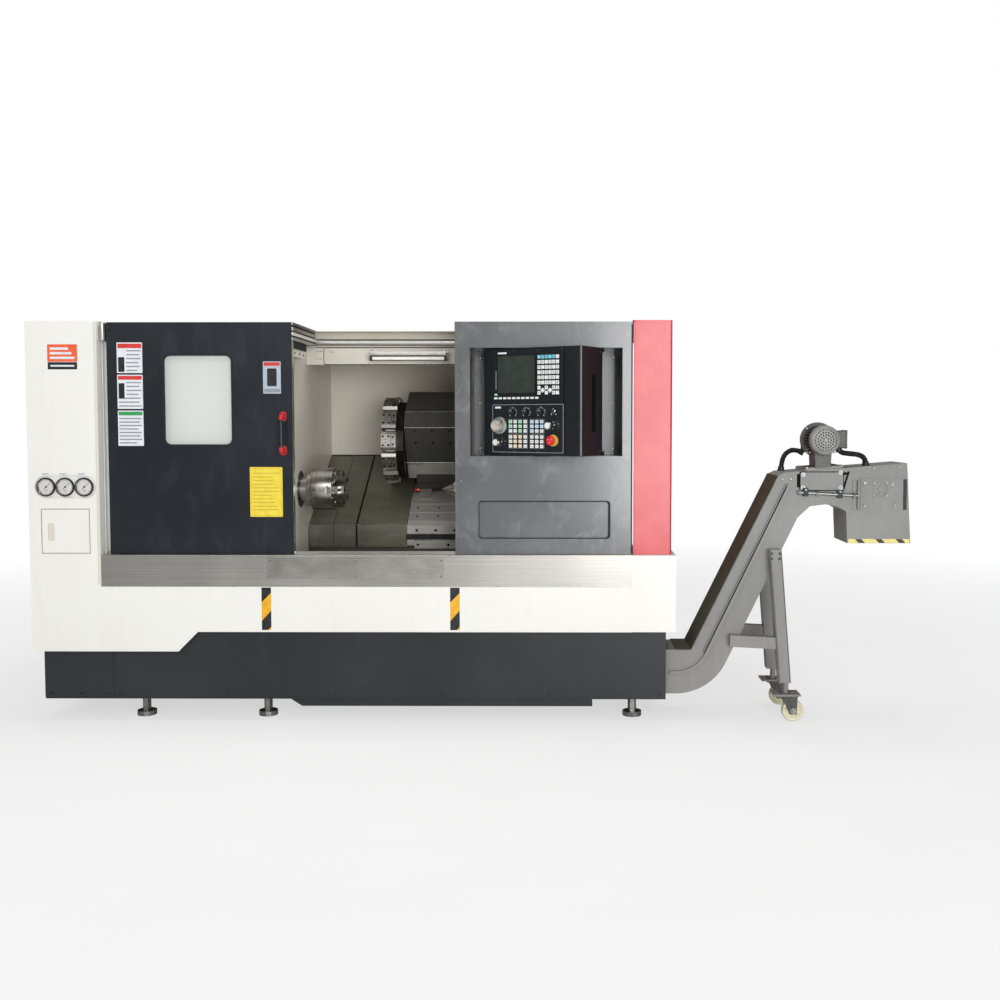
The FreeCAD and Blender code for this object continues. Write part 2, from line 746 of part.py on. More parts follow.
# ---- tool blocks: wedge-shaped square-shank holders round the disc, and one for a round shank
blocks = []
block_left = disc_left - block_length
slot_reach = 34
bored_block = 1
half = block_width / 2
root_half = block_root_width / 2
middle = (block_root + station_radius) / 2
block_side = [
    (-root_half, block_root),
    (root_half, block_root),
    (half, station_radius - 18),
    (half, station_radius - 12),
    (half - 12, station_radius),
    (12 - half, station_radius),
    (-half, station_radius - 12),
    (-half, station_radius - 18),
]
for k in range(station_count):
    block = prism_x(block_side, block_left, disc_left)
    if k == bored_block:
        block = block.cut(rod(tool_bore_radius, V(block_left - 1, 0, middle + 6), X, block_length + 1))
    else:
        block = block.cut(box(block_left - 1, block_left + slot_reach, -half - 1, half + 1,
                              middle - 6, middle + 20))
    block = turned(block, V(0, 0, 0), X, 360 / station_count * k)
    blocks.append(slanted(moved(block, V(0, turret_u, 0))))
pieces["tool_blocks"] = Part.makeCompound(blocks)

# ---- tailstock on the front rail, with quill and live centre
tail_right = tail_left + tail_length
tail_front = bed_front - rail_depth
hook_top = rail_bottom + hook_height - running_gap
tail = prism_x([
    (spindle_y - 55, spindle_z + 62),
    (spindle_y - 75, spindle_z + 42),
    (spindle_y - 75, spindle_z - 70),
    (tail_front - 110, rail_top + 55),
    (tail_front - 70, rail_top),
    (tail_front - 70, rail_bottom - hook_lip),
    (bed_front - 1, rail_bottom - hook_lip),
    (bed_front - 1, hook_top),
    (bed_front - hook_depth + running_gap, hook_top),
    (bed_front - hook_depth + running_gap, rail_bottom - running_gap),
    (tail_front, rail_bottom - running_gap),
    (tail_front, rail_top),
    (tail_front - 10, rail_top + 45),
    (tail_front - 30, rail_top + 135),
    (spindle_y + 75, spindle_z - 60),
    (spindle_y + 75, spindle_z + 42),
    (spindle_y + 55, spindle_z + 62),
], tail_left, tail_right)
quill_hole = rod(quill_radius + running_gap, V(tail_left - 1, spindle_y, spindle_z), X, 260)
pieces["tailstock"] = tail.cut(quill_hole)
quill_left = tail_left - 22
quill = rod(quill_radius, V(quill_left, spindle_y, spindle_z), X, 240)
pieces["tailstock_quill"] = quill
live_body = 60
live_sides = 24
cone_length = quill_left - centre_tip - live_body
cone_radius = cone_length * math.tan(math.radians(30))
cone_base = centre_tip + cone_length
cone_ring = [V(cone_base, a, b) for a, b in polygon(spindle_y, spindle_z, cone_radius, live_sides)]
cone = point(V(centre_tip, spindle_y, spindle_z), cone_ring)
live_shank = prism_x(polygon(spindle_y, spindle_z, cone_radius, live_sides), cone_base, quill_left)
pieces["live_centre"] = cone.fuse(live_shank).removeSplitter()

# ---- lengthways ball screw between the ways, with its servo motor at the right
screw = rod(screw_radius, V(screw_left, screw_u, screw_v), X, motor_face - screw_left)
pieces["ball_screw"] = slanted(screw)
screw_clear = rod(screw_radius + 0.3, V(screw_left, screw_u, screw_v), X, motor_face - screw_left)
pieces["carriage"] = pieces["carriage"].cut(slanted(screw_clear))
servo_half = 60
servo_length = 112
pieces["axis_motor"] = slanted(box(motor_face, motor_face + servo_length, screw_u - servo_half,
                                   screw_u + servo_half, bed_level, screw_v + servo_half))

# ---- sliding door: front leaf and roof leaf in one, hung on the beam's tube
door_back = panel_front + door_thickness
window_left = door_left + 261
window_right = window_left + 318
window_top = door_top - 148
window_bottom = window_top - 420
window_corner = 33
roof_back = tube_y - 22
leaf = box(door_left, door_right, panel_front, door_back, sill_top + 2, door_top)
leaf_frame = 25
roof_frame = 18
leaf_inside = box(door_left + leaf_frame, door_right - leaf_frame, panel_front + sheet, door_back + 1,
                  sill_top + 30, door_top - 35)
roof = box(door_left, door_right, panel_front, roof_back, door_top - roof_depth, door_top)
roof_inside = box(door_left + roof_frame, door_right - roof_frame, door_back + 5, roof_back - roof_frame,
                  door_top - roof_depth - 1, door_top - sheet)
rail_groove = box(door_left - 1, door_right + 1, low_rail_front - running_gap, low_rail_back + running_gap,
                  sill_top, low_rail_top)
window_hole = prism_y(rounded(window_left, window_right, window_bottom, window_top, window_corner),
                      panel_front - 1, door_back + 1)
hooks = []
for x in (door_left + 60, door_right - 130):
    hook = box(x, x + 70, roof_back - 5, tube_y + 6, tube_z - 18, tube_z + 18)
    hooks.append(hook)
groove = tube_radius + 0.3
tube_space = box(door_left - 1, door_right + 1, tube_y - groove, tube_y + 30,
                 tube_z - groove, tube_z + groove)
leaf = leaf.cut(leaf_inside)
roof = roof.cut(roof_inside)
door = fuse([leaf, roof] + hooks)
pieces["sliding_door"] = cut(door, [rail_groove, window_hole, tube_space])

# ---- door window, held from behind
pane_lap = 12
pane_thickness = 6
pane_front = panel_front + sheet
pieces["door_window"] = box(window_left - pane_lap, window_right + pane_lap, pane_front,
                            pane_front + pane_thickness, window_bottom - pane_lap, window_top + pane_lap)

# ---- door handle: bar between two brackets
handle_x = door_right - 42
handle_low = sill_top + 459
handle_high = handle_low + 203
handle_bar_y = -8
handle_parts = [prism_z(polygon(handle_x, handle_bar_y, 7, 12), handle_low + 12, handle_high - 12)]
for z in (handle_low, handle_high - 24):
    handle_parts.append(box(handle_x - 12, handle_x + 12, handle_bar_y - 12, panel_front, z, z + 24))
pieces["door_handle"] = fuse(handle_parts)


# ---- operator's panel, drawn square to the front and then turned on its upright pivot
def panel_turned(shape):
    copy = shape.copy()
    copy.rotate(V(0, 0, 0), Z, -panel_turn)
    copy.translate(V(panel_pivot_x, panel_pivot_y, recess_middle))
    return copy


half_width = panel_width / 2
half_depth = panel_depth / 2
half_height = panel_height / 2
face_y = -half_depth
housing = box(-half_width, half_width, face_y, half_depth, -half_height, half_height)
housing = housing.makeChamfer(panel_corner, [edge for edge in housing.Edges if edge.BoundBox.ZLength > 400])
grip_depth = 30
grip_slot = rounded(face_y + 92, face_y + 137, -140, 125, 22.4)
grip = prism_x(grip_slot, half_width - grip_depth, half_width + 10)
pivot = polygon(0, 0, 45, 12)
pin_end = half_height + recess_room_height
pins = [prism_z(pivot, half_height - 1, pin_end), prism_z(pivot, -pin_end, 1 - half_height)]
shell_wall = 3
void = box(shell_wall - half_width, half_width - grip_depth - shell_wall, face_y + shell_wall,
           half_depth - shell_wall, shell_wall - half_height, half_height - shell_wall)
pieces["control_box"] = panel_turned(fuse([cut(housing, [grip, void])] + pins))

# faces: two bezels with a screen opening, key fields and switch bases
bezel_left = -206
bezel_right = 174
bezel_split = -9
bezel_top = 237
bezel_bottom = -231
bezel_proud = 6
screen = (-178, 24, 40, 210)
upper = box(bezel_left, bezel_right, face_y - bezel_proud, face_y, bezel_split + 3, bezel_top)
upper = upper.cut(box(screen[0], screen[1], face_y - bezel_proud - 1, face_y - 2, screen[2], screen[3]))
lower = box(bezel_left, bezel_right, face_y - bezel_proud, face_y, bezel_bottom, bezel_split - 3)
bezel_y = face_y - bezel_proud
key_rise = 1.5
key_fields = [
    (39, 158, 190, 213), (39, 158, 27, 187),
    (-196, 46, 11, 22),
    (-116, -15, -143, -80), (0, 74, -143, -80),
    (-116, -15, -212, -149), (0, 74, -212, -149),
]
fields = [box(a, b, bezel_y - key_rise, bezel_y + 1, c, d) for a, b, c, d in key_fields]
knob_places = [(-95, -47), (-21, -47), (57, -47)]
wheel_place = (-165, -108)
stop_place = (121, -175)
button_places = [(94, -108), (-187, -186)]
collar_gap = 0.3
stop_neck = 13
stop_rise = 8
button_radius = 14
button_rise = 6


def collar(place, outer, inner, sides, height):
    ring = prism_y(polygon(place[0], place[1], outer, sides), bezel_y - height, bezel_y + 1)
    return ring.cut(prism_y(polygon(place[0], place[1], inner, sides), bezel_y - height - 1, bezel_y))


stop_base = collar(stop_place, 26, stop_neck + collar_gap, 24, stop_rise)
start_collar = collar(button_places[0], 18, button_radius + collar_gap, 24, button_rise)
fixed_button = prism_y(polygon(button_places[1][0], button_places[1][1], button_radius, 24),
                       bezel_y - 9, bezel_y + 1)
face = fuse([lower.fuse(upper), stop_base, start_collar, fixed_button] + fields)
pieces["control_face"] = panel_turned(face)
screen_pane = box(screen[0], screen[1], face_y - 4, face_y - 2, screen[2], screen[3])
pieces["control_screen"] = panel_turned(screen_pane)


seat_gap = 0.3


def grip_cap(place, radius, sides, near, far):
    # a faceted cap in front of the bezel, between two distances from it
    return prism_y(polygon(place[0], place[1], radius, sides), bezel_y - far, bezel_y - near)


for k in range(3):
    pieces["override_knob_%d" % (k + 1)] = panel_turned(grip_cap(knob_places[k], 12, 12, seat_gap, 16))
pieces["handwheel"] = panel_turned(fuse([
    grip_cap(wheel_place, 40, 32, seat_gap, 14),
    grip_cap(wheel_place, 33, 32, 13, 40),
    grip_cap((wheel_place[0] + 18, wheel_place[1] + 12), 8, 12, 39, 52),
]))
stop_travel = 4
pieces["emergency_stop"] = panel_turned(fuse([
    grip_cap(stop_place, stop_neck, 24, stop_travel + seat_gap, 20),
    grip_cap(stop_place, 21, 24, 18, 32),
]))
button_travel = 3
button_head = grip_cap(button_places[0], button_radius, 24, button_travel + seat_gap, 13)
pieces["push_button"] = panel_turned(button_head)

# ---- chip conveyor: trough, incline and head as one hollow sheet body
rise = math.radians(incline_angle)
head_rise = math.radians(head_angle)
bend_top_x = machine_length + 79
trough_top = trough_bottom + trough_height
knee_x = bend_top_x + incline_run
knee_z = trough_top + incline_run * math.tan(rise)
head_end_x = knee_x + head_length
head_end_z = knee_z + head_length * math.tan(head_rise)
chute_right = head_end_x + 20
chute_left = chute_right - chute_width
chute_bottom = knee_z - chute_drop
trough_left = pedestal_right + 130
throat = knee_z - 154


def under_x(z, thickness):
    # x of the line at this distance below the incline's top line, at height z
    return bend_top_x + (z - trough_top) / math.tan(rise) + thickness / math.sin(rise)


side = [
    (trough_left, trough_bottom),
    (under_x(trough_bottom, incline_thickness), trough_bottom, 260),
    (under_x(throat - 54, incline_thickness), throat - 54),
    (chute_left - 176, throat),
    (chute_left - 103, throat + 9),
    (chute_left - 48, throat),
    (chute_left - 7, throat - 24),
    (chute_left, chute_bottom),
    (chute_right, chute_bottom),
    (head_end_x, head_end_z),
    (knee_x + 30, knee_z + 30 * math.tan(head_rise)),
    (knee_x, knee_z - 12),
    (bend_top_x, trough_top),
    (trough_left, trough_top),
]
wall = conveyor_wall
inside = [
    (trough_left + wall, trough_bottom + wall),
    (under_x(trough_bottom + wall, incline_thickness - wall), trough_bottom + wall, 256),
    (under_x(throat - 58, incline_thickness - wall), throat - 58),
    (chute_left - 179, throat + 5),
    (chute_left - 103, throat + 14),
    (chute_left - 44, throat + 4),
    (chute_left - 2, throat - 21),
    (chute_left + 5, chute_bottom - 1),
    (chute_right - wall, chute_bottom - 1),
    (head_end_x - wall - 1, head_end_z - wall),
    (knee_x + 32, knee_z + 30 * math.tan(head_rise) - wall),
    (knee_x + 1, knee_z - 10 - wall),
    (bend_top_x + 1, trough_top - wall),
    (trough_left + wall, trough_top - wall),
]
conveyor_back = conveyor_front + conveyor_width
shell = prism_y(side, conveyor_front, conveyor_back)
shell = shell.cut(prism_y(inside, conveyor_front + wall, conveyor_back - wall))
intake = box(trough_left + 30, tray_end - 40, conveyor_front + 14, conveyor_back - 14,
             trough_top - 20, trough_top + 20)
shell = shell.cut(intake)
runner_top = trough_bottom + 40
runner_places = (conveyor_front + 35, conveyor_back - 55)
runners = [box(trough_left + 60, machine_length - 33, y, y + 20, trough_bottom + 1, runner_top)
           for y in runner_places]
ledge_end = knee_z - 70
ledge_start = machine_length - 23
ledge_low = [
    (ledge_start, trough_bottom + 96),
    (under_x(trough_bottom + 96, 77), trough_bottom + 96, 160),
    (under_x(ledge_end, 77), ledge_end),
    (under_x(ledge_end + 6, 64), ledge_end + 6),
    (under_x(trough_bottom + 109, 64), trough_bottom + 109, 145),
    (ledge_start, trough_bottom + 109),
]
ledge_rim = prism_y(ledge_low, conveyor_front - 14, conveyor_front + 1)
shaft_x = chute_right - 143
shaft_z = knee_z - 75
cover_plate = box(chute_left - 223, chute_left - 21, conveyor_front - 3, conveyor_front + 1,
                  throat + 74, knee_z + 6)
bearing_plate = box(shaft_x - 95, head_end_x - 2, conveyor_front - 4, conveyor_front + 1,
                    throat - 18, throat + 128)
pieces["conveyor_body"] = fuse([shell] + runners + [ledge_rim, cover_plate, bearing_plate])

# ---- cover plates over the low end and the incline
normal_x = -math.sin(rise)
normal_z = math.cos(rise)
lift = 3
cover_start = machine_length + 7
cover_face = [
    (cover_start, trough_top),
    (bend_top_x, trough_top),
    (knee_x, knee_z - 12),
    (knee_x + normal_x * lift, knee_z - 12 + normal_z * lift),
    (bend_top_x - lift * math.tan(rise / 2), trough_top + lift),
    (cover_start, trough_top + lift),
]
pieces["conveyor_cover"] = prism_y(cover_face, conveyor_front - 6, conveyor_back + 6)

# ---- slat belt: a closed band round the path from the trough to the head
shaft_radius = 17
sprocket_sides = 8
belt_half = 50
belt_thickness = 12
trough_mid = runner_top + belt_half
mid_offset = incline_thickness / 2 - 3
belt_path = [
    (trough_left + 90, trough_mid),
    (under_x(trough_mid, mid_offset), trough_mid),
    (under_x(shaft_z + 2, mid_offset), shaft_z + 2),
    (shaft_x, shaft_z),
]


def belt_band(half, y0, y1):
    # the path thickened to both sides, with sprocket-sided ends
    parts = []
    for (xa, za), (xb, zb) in zip(belt_path, belt_path[1:]):
        length = math.hypot(xb - xa, zb - za)
        strip = box(0, length, y0, y1, -half, half)
        strip = turned(strip, V(0, 0, 0), Y, -math.degrees(math.atan2(zb - za, xb - xa)))
        parts.append(moved(strip, V(xa, 0, za)))
    corner = half / math.cos(math.pi / sprocket_sides)
    for xa, za in belt_path:
        parts.append(prism_y(polygon(xa, za, corner, sprocket_sides, 180 / sprocket_sides), y0, y1))
    return fuse(parts)


belt_gap = 18
belt = belt_band(belt_half, conveyor_front + belt_gap, conveyor_back - belt_gap)
belt_hollow = belt_band(belt_half - belt_thickness, conveyor_front + belt_gap - 1,
                        conveyor_back - belt_gap + 1)
belt = belt.cut(belt_hollow)
pieces["slat_belt"] = belt

# ---- head shaft with two sprockets inside the belt
sprocket_corner = belt_half - belt_thickness - 0.3
shaft_bar = prism_y(polygon(shaft_x, shaft_z, shaft_radius, 6), conveyor_front - 2, conveyor_back + 2)
sprocket = polygon(shaft_x, shaft_z, sprocket_corner, sprocket_sides)
sprockets = [prism_y(sprocket, y, y + 12) for y in (conveyor_front + 40, conveyor_back - 52)]
shaft_hole = rod(shaft_radius + running_gap, V(shaft_x, conveyor_front - 10, shaft_z), Y, conveyor_width + 20)
pieces["conveyor_body"] = pieces["conveyor_body"].cut(shaft_hole)
pieces["conveyor_shaft"] = fuse([shaft_bar] + sprockets)

# ---- conveyor motor on a foot plate
motor_x = chute_left - 116
motor_z = knee_z + 154
motor_radius = 66
motor_foot_left = motor_x - 79
motor_foot_right = motor_x + 99
motor_foot_plate = 12


def head_top(x):
    # height of the head's top face at x
    return knee_z + (x - knee_x) * math.tan(head_rise)


foot = prism_y([(motor_foot_left, head_top(motor_foot_left)),
                (motor_foot_right, head_top(motor_foot_right)),
                (motor_foot_right, head_top(motor_foot_right) + motor_foot_plate),
                (motor_foot_left, head_top(motor_foot_left) + motor_foot_plate)],
               conveyor_front + 10, conveyor_back - 10)
fin_count = 16
fin_root = motor_radius - 9
fin_shape = [(0, motor_radius), (0.42, motor_radius), (0.5, fin_root), (0.92, fin_root)]
fins = []
for k in range(fin_count):
    for part_turn, fin_radius in fin_shape:
        a = 2 * math.pi / fin_count * (k + part_turn)
        fins.append((motor_x + fin_radius * math.cos(a), motor_z + fin_radius * math.sin(a)))
foot_level = head_top(motor_x) + motor_foot_plate - 2
gear_case = box(motor_x - 57, motor_x + 57, 190, 280, foot_level, motor_z + 45)
stand = box(motor_x - 39, motor_x + 39, 66, 190, foot_level, motor_z - 40)
pieces["conveyor_motor"] = fuse([
    foot,
    gear_case,
    stand,
    prism_y(polygon(motor_x, motor_z, 82, 12, 15), 178, 191),
    prism_y(fins, 66, 179),
    prism_y(polygon(motor_x, motor_z, motor_radius + 2, 24), 20, 67),
    box(motor_x + 50, motor_x + 108, 60, 150, motor_z - 38, motor_z + 44),
])

# ---- flexible conduits from the motor into the head's top, each a six-sided tube along its bends
conduit_radius = 11
conduit_routes = [
    [
        (motor_x - 56, 235, motor_z - 62),
        (motor_x - 98, 235, motor_z - 46),
        (motor_x - 136, 233, motor_z - 62),
        (motor_x - 158, 230, motor_z - 98),
        (motor_x - 162, 228, head_top(motor_x - 162) - 2),
    ],
    [
        (motor_x + 76, 100, motor_z - 37),
        (motor_x + 84, 101, motor_z - 58),
        (motor_x + 126, 106, motor_z - 64),
        (motor_x + 176, 112, motor_z - 68),
        (motor_x + 210, 118, motor_z - 86),
        (motor_x + 212, 120, head_top(motor_x + 212) - 2),
    ],
]


def conduit(route):
    points = [V(*place) for place in route]
    path = Part.makePolygon(points)
    ahead = (points[1] - points[0]).normalize()
    sideways = ahead.cross(Y).normalize() if abs(ahead.y) < 0.9 else ahead.cross(X).normalize()
    upward = ahead.cross(sideways)
    corners = []
    for k in range(7):
        angle = math.radians(60 * k)
        round_it = sideways * math.cos(angle) + upward * math.sin(angle)
        corners.append(points[0] + round_it * conduit_radius)
    return Part.Wire(path.Edges).makePipeShell([Part.makePolygon(corners)], True, False, 1)


conduits = [conduit(route).cut(pieces["conveyor_body"]) for route in conduit_routes]
pieces["conveyor_motor"] = fuse([pieces["conveyor_motor"]] + conduits)

# ---- conveyor legs: a leaning post each side with a brace to the trough's bend
leg_size = 55
lean = math.tan(math.radians(leg_lean))
leg_top = knee_z - 351
leg_bottom = 182
leg_centre_top = knee_x - 18
fork_plate_z = 124
leg_solids = []
for y0 in (conveyor_front - leg_size, conveyor_back):
    low_x = leg_centre_top + (leg_top - leg_bottom) * lean
    post = prism_y([(low_x - leg_size / 2, leg_bottom), (low_x + leg_size / 2, leg_bottom),
                    (leg_centre_top + leg_size / 2, leg_top), (leg_centre_top - leg_size / 2, leg_top)],
                   y0, y0 + leg_size)
    brace_left = bend_top_x + 176
    brace_right = low_x - 22
    brace = prism_y([(brace_left, 350), (brace_right, 338), (brace_right, 392), (brace_left, 404)],
                    y0 + 8, y0 + leg_size)
    foot_x = low_x + 8
    stem = prism_z(polygon(foot_x, y0 + leg_size / 2, 14, 6), fork_plate_z, leg_bottom + 10)
    plate = box(foot_x - 62, foot_x + 62, y0 - 20, y0 + leg_size + 20, fork_plate_z, fork_plate_z + 8)
    leg_solids.append(fuse([post, brace, stem, plate]))
pieces["conveyor_legs"] = Part.makeCompound(leg_solids)

# ---- casters: fork turning under each foot plate, wheel turning between its cheeks
trail = 32
cheek = 5
wheel_half = 20
wheel_sides = 28
for k in range(2):
    cx = leg_centre_top + (leg_top - leg_bottom) * lean + 8
    cy = (conveyor_front - leg_size, conveyor_back)[k] + leg_size / 2
    cheek_shape = [(cx - 20, fork_plate_z - 7), (cx + trail - 16, wheel_radius - 16),
                   (cx + trail + 16, wheel_radius - 16), (cx + trail + 20, fork_plate_z - 7)]
    fork = fuse([
        box(cx - 34, cx + trail + 22, cy - 30, cy + 30, fork_plate_z - 8, fork_plate_z),
        prism_y(cheek_shape, cy - wheel_half - cheek, cy - wheel_half),
        prism_y(cheek_shape, cy + wheel_half, cy + wheel_half + cheek),
    ])
    pieces["caster_fork_%d" % (k + 1)] = fork
    pieces["caster_wheel_%d" % (k + 1)] = prism_y(
        polygon(cx + trail, wheel_radius, wheel_radius, wheel_sides, 90), cy - wheel_half, cy + wheel_half)

# ---- move everything so that the origin is the bottom centre of the whole, and write the pieces
to_origin = V(-chute_right / 2, -(front_most + enclosure_back) / 2, 0)
for name, shape in pieces.items():
    shape.translate(to_origin)
    shape.exportStep("parts/%s.step" % name)
print(len(pieces), "pieces")
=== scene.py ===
import bpy
import bmesh
import json
from math import cos, degrees, pi, radians, sin, sqrt, tan
from mathutils import Matrix, Vector

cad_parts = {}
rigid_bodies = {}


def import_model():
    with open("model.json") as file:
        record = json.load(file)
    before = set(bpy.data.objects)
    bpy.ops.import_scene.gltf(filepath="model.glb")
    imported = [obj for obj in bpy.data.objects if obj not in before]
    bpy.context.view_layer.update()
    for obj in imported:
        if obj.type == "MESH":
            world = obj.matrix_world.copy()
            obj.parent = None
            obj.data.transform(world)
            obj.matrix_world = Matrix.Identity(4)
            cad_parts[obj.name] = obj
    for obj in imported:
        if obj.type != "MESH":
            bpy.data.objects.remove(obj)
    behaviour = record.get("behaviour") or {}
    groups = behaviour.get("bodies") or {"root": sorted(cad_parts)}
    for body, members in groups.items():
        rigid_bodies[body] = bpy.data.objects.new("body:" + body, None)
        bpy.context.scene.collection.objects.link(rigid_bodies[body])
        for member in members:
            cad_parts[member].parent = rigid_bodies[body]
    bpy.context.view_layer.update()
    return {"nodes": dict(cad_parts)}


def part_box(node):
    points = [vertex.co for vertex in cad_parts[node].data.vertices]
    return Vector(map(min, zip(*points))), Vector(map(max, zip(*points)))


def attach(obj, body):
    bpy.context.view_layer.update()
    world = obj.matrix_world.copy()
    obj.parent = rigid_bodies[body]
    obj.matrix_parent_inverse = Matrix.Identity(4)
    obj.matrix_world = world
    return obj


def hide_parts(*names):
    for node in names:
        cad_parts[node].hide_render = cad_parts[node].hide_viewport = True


for thing in list(bpy.data.objects):  # the start-up file's own cube, lamp and camera
    bpy.data.objects.remove(thing)
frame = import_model()
nodes = frame["nodes"]
print("frame loaded:", len(nodes), "nodes")

# The machine is drawn in millimetres: x right from its left edge, y back from its front cover, z up from the floor.
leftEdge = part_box("left_cabinet")[0].x
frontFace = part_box("lower_front_cover")[0].y


def at(x, y, z):
    return Vector((leftEdge + x / 1000, frontFace + y / 1000, z / 1000))


def toLinear(code):  # sRGB hex to linear colour
    parts = [int(code[i:i + 2], 16) / 255 for i in (1, 3, 5)]
    return tuple(p / 12.92 if p <= 0.04045 else ((p + 0.055) / 1.055) ** 2.4 for p in parts) + (1.0,)


def perMetre(size):  # how many marks of that many millimetres go in a metre, which is a texture's scale
    return 1000 / size


def addNode(tree, kind, settings={}, links={}):  # a link comes from a socket, or from a node's first output
    node = tree.nodes.new("ShaderNode" + kind)
    for key, value in settings.items():
        if key == "stops":  # the positions and colours of a ramp
            for element, (position, code) in zip(node.color_ramp.elements, value):
                element.position, element.color = position, toLinear(code)
        elif isinstance(key, int) or key in node.inputs:
            node.inputs[key].default_value = value
        else:
            setattr(node, key, value)
    for key, source in links.items():
        tree.links.new(getattr(source, "outputs", [source])[0], node.inputs[key])
    return node


def newMaterial(name):
    material = bpy.data.materials.new(name)
    material.use_nodes = True
    material.node_tree.nodes.clear()
    return material, material.node_tree, addNode(material.node_tree, "TexCoord").outputs["Object"]


# Sprayed and powder-coated sheet steel. To the eye: one even colour with slow clouds, fine orange peel in the
# shine, dull wipe marks running one way, a little dust low down and pale rub marks.
def coatedSteel(name, colour, cloudColour, wipeColour, rubColour, **changes):
    look = {**plain, **changes}
    material, tree, spot = newMaterial(name)
    clouds = addNode(tree, "TexNoise", {"Scale": perMetre(look["cloud"]), "Detail": 4, "Roughness": 0.55},
        {"Vector": spot})
    tone = addNode(tree, "ValToRGB", {"stops": [(0.35, colour), (0.72, cloudColour)]}, {"Fac": clouds})
    drawn = addNode(tree, "Mapping", {"Scale": look["wipeRun"], "Rotation": look["wipeTurn"]}, {"Vector": spot})
    streaks = {"Scale": perMetre(look["wipe"]), "Detail": 6, "Roughness": 0.62, "Distortion": 0.6}
    wipes = addNode(tree, "TexNoise", streaks, {"Vector": drawn})
    wiped = addNode(tree, "MapRange", {"From Min": 0.52, "From Max": 0.78, "To Max": look["wipeShow"]},
        {"Value": wipes})
    marked = addNode(tree, "Mix", {"data_type": "RGBA", 7: toLinear(wipeColour)}, {0: wiped, 6: tone})
    edges = {"feature": "DISTANCE_TO_EDGE", "Scale": perMetre(look["rub"])}
    rubs = addNode(tree, "TexVoronoi", edges, {"Vector": drawn})
    thin = addNode(tree, "MapRange", {"From Max": 0.012, "To Min": look["rubShow"], "To Max": 0}, {"Value": rubs})
    broken = addNode(tree, "Math", {"operation": "MULTIPLY"}, {0: thin, 1: wiped})
    rubbed = addNode(tree, "Mix", {"data_type": "RGBA", 7: toLinear(rubColour)}, {0: broken, 6: marked.outputs[2]})
    height = addNode(tree, "SeparateXYZ", {}, {"Vector": spot}).outputs["Z"]
    settling = {"From Min": 0.05, "From Max": look["dustTop"], "To Min": look["dustShow"], "To Max": 0}
    low = addNode(tree, "MapRange", settling, {"Value": height})
    dusty = addNode(tree, "Math", {"operation": "MULTIPLY"}, {0: low, 1: clouds})
    dirty = addNode(tree, "Mix", {"data_type": "RGBA", 7: toLinear(look["dustColour"])},
        {0: dusty, 6: rubbed.outputs[2]})
    least, most = look["rough"]
    shine = addNode(tree, "MapRange", {"To Min": least, "To Max": most}, {"Value": wipes})
    peel = addNode(tree, "TexNoise", {"Scale": perMetre(look["peel"])}, {"Vector": spot})
    bump = addNode(tree, "Bump", {"Strength": look["peelShow"], "Distance": 0.0006}, {"Height": peel})
    settings = {"IOR": 1.5, "Specular IOR Level": look["shine"], "Coat Weight": look["coat"], "Coat Roughness": 0.15}
    links = {"Base Color": dirty.outputs[2], "Roughness": shine, "Normal": bump}
    addNode(tree, "OutputMaterial", {}, {"Surface": addNode(tree, "BsdfPrincipled", settings, links)})
    return material


# Bare metal with the marks of how it was cut. To the eye: a grain of fine lines along the cut, brighter and duller
# patches of oil film, and a soft stretched shine.
def cutMetal(name, colour, darkColour, **changes):
    look = {**brushed, **changes}
    material, tree, spot = newMaterial(name)
    along = addNode(tree, "Mapping", {"Scale": look["grainRun"]}, {"Vector": spot})
    grain = addNode(tree, "TexNoise", {"Scale": perMetre(look["grain"]), "Detail": 3, "Roughness": 0.7},
        {"Vector": along})
    patches = {"Scale": perMetre(look["film"]), "Detail": 5, "Roughness": 0.6, "Distortion": 0.4}
    film = addNode(tree, "TexNoise", patches, {"Vector": spot})
    both = addNode(tree, "Mix", {"data_type": "FLOAT", 0: 0.45}, {2: grain, 3: film})
    tone = addNode(tree, "ValToRGB", {"stops": [(0.34, darkColour), (0.66, colour)]}, {"Fac": both})
    least, most = look["rough"]
    shine = addNode(tree, "MapRange", {"From Min": 0.3, "From Max": 0.7, "To Min": least, "To Max": most},
        {"Value": film})
    bump = addNode(tree, "Bump", {"Strength": look["grainShow"], "Distance": 0.0004}, {"Height": grain})
    links = {"Base Color": tone, "Roughness": shine, "Normal": bump}
    shader = addNode(tree, "BsdfPrincipled", {"Metallic": look["metal"]}, links)
    addNode(tree, "OutputMaterial", {}, {"Surface": shader})
    return material


# Moulded plastic, rubber and printed film. To the eye: a fine even texture that softens the shine, faint handling
# marks, and no grain.
def mouldedPlastic(name, base, colour, markColour, **changes):
    look = {**base, **changes}
    material, tree, spot = newMaterial(name)
    handled = addNode(tree, "TexNoise", {"Scale": perMetre(look["mark"]), "Detail": 4}, {"Vector": spot})
    tone = addNode(tree, "ValToRGB", {"stops": [(0.38, colour), (0.7, markColour)]}, {"Fac": handled})
    least, most = look["rough"]
    shine = addNode(tree, "MapRange", {"To Min": least, "To Max": most}, {"Value": handled})
    grain = addNode(tree, "TexNoise", {"Scale": perMetre(look["grain"]), "Detail": 1}, {"Vector": spot})
    bump = addNode(tree, "Bump", {"Strength": look["grainShow"], "Distance": 0.0002}, {"Height": grain})
    settings = {"IOR": 1.5, "Specular IOR Level": look.get("shine", 0.5), "Coat Weight": look.get("coat", 0)}
    if "glow" in look:
        settings.update({"Emission Color": toLinear(look["glow"]), "Emission Strength": look["glowStrength"]})
    links = {"Base Color": tone, "Roughness": shine, "Normal": bump}
    addNode(tree, "OutputMaterial", {}, {"Surface": addNode(tree, "BsdfPrincipled", settings, links)})
    return material


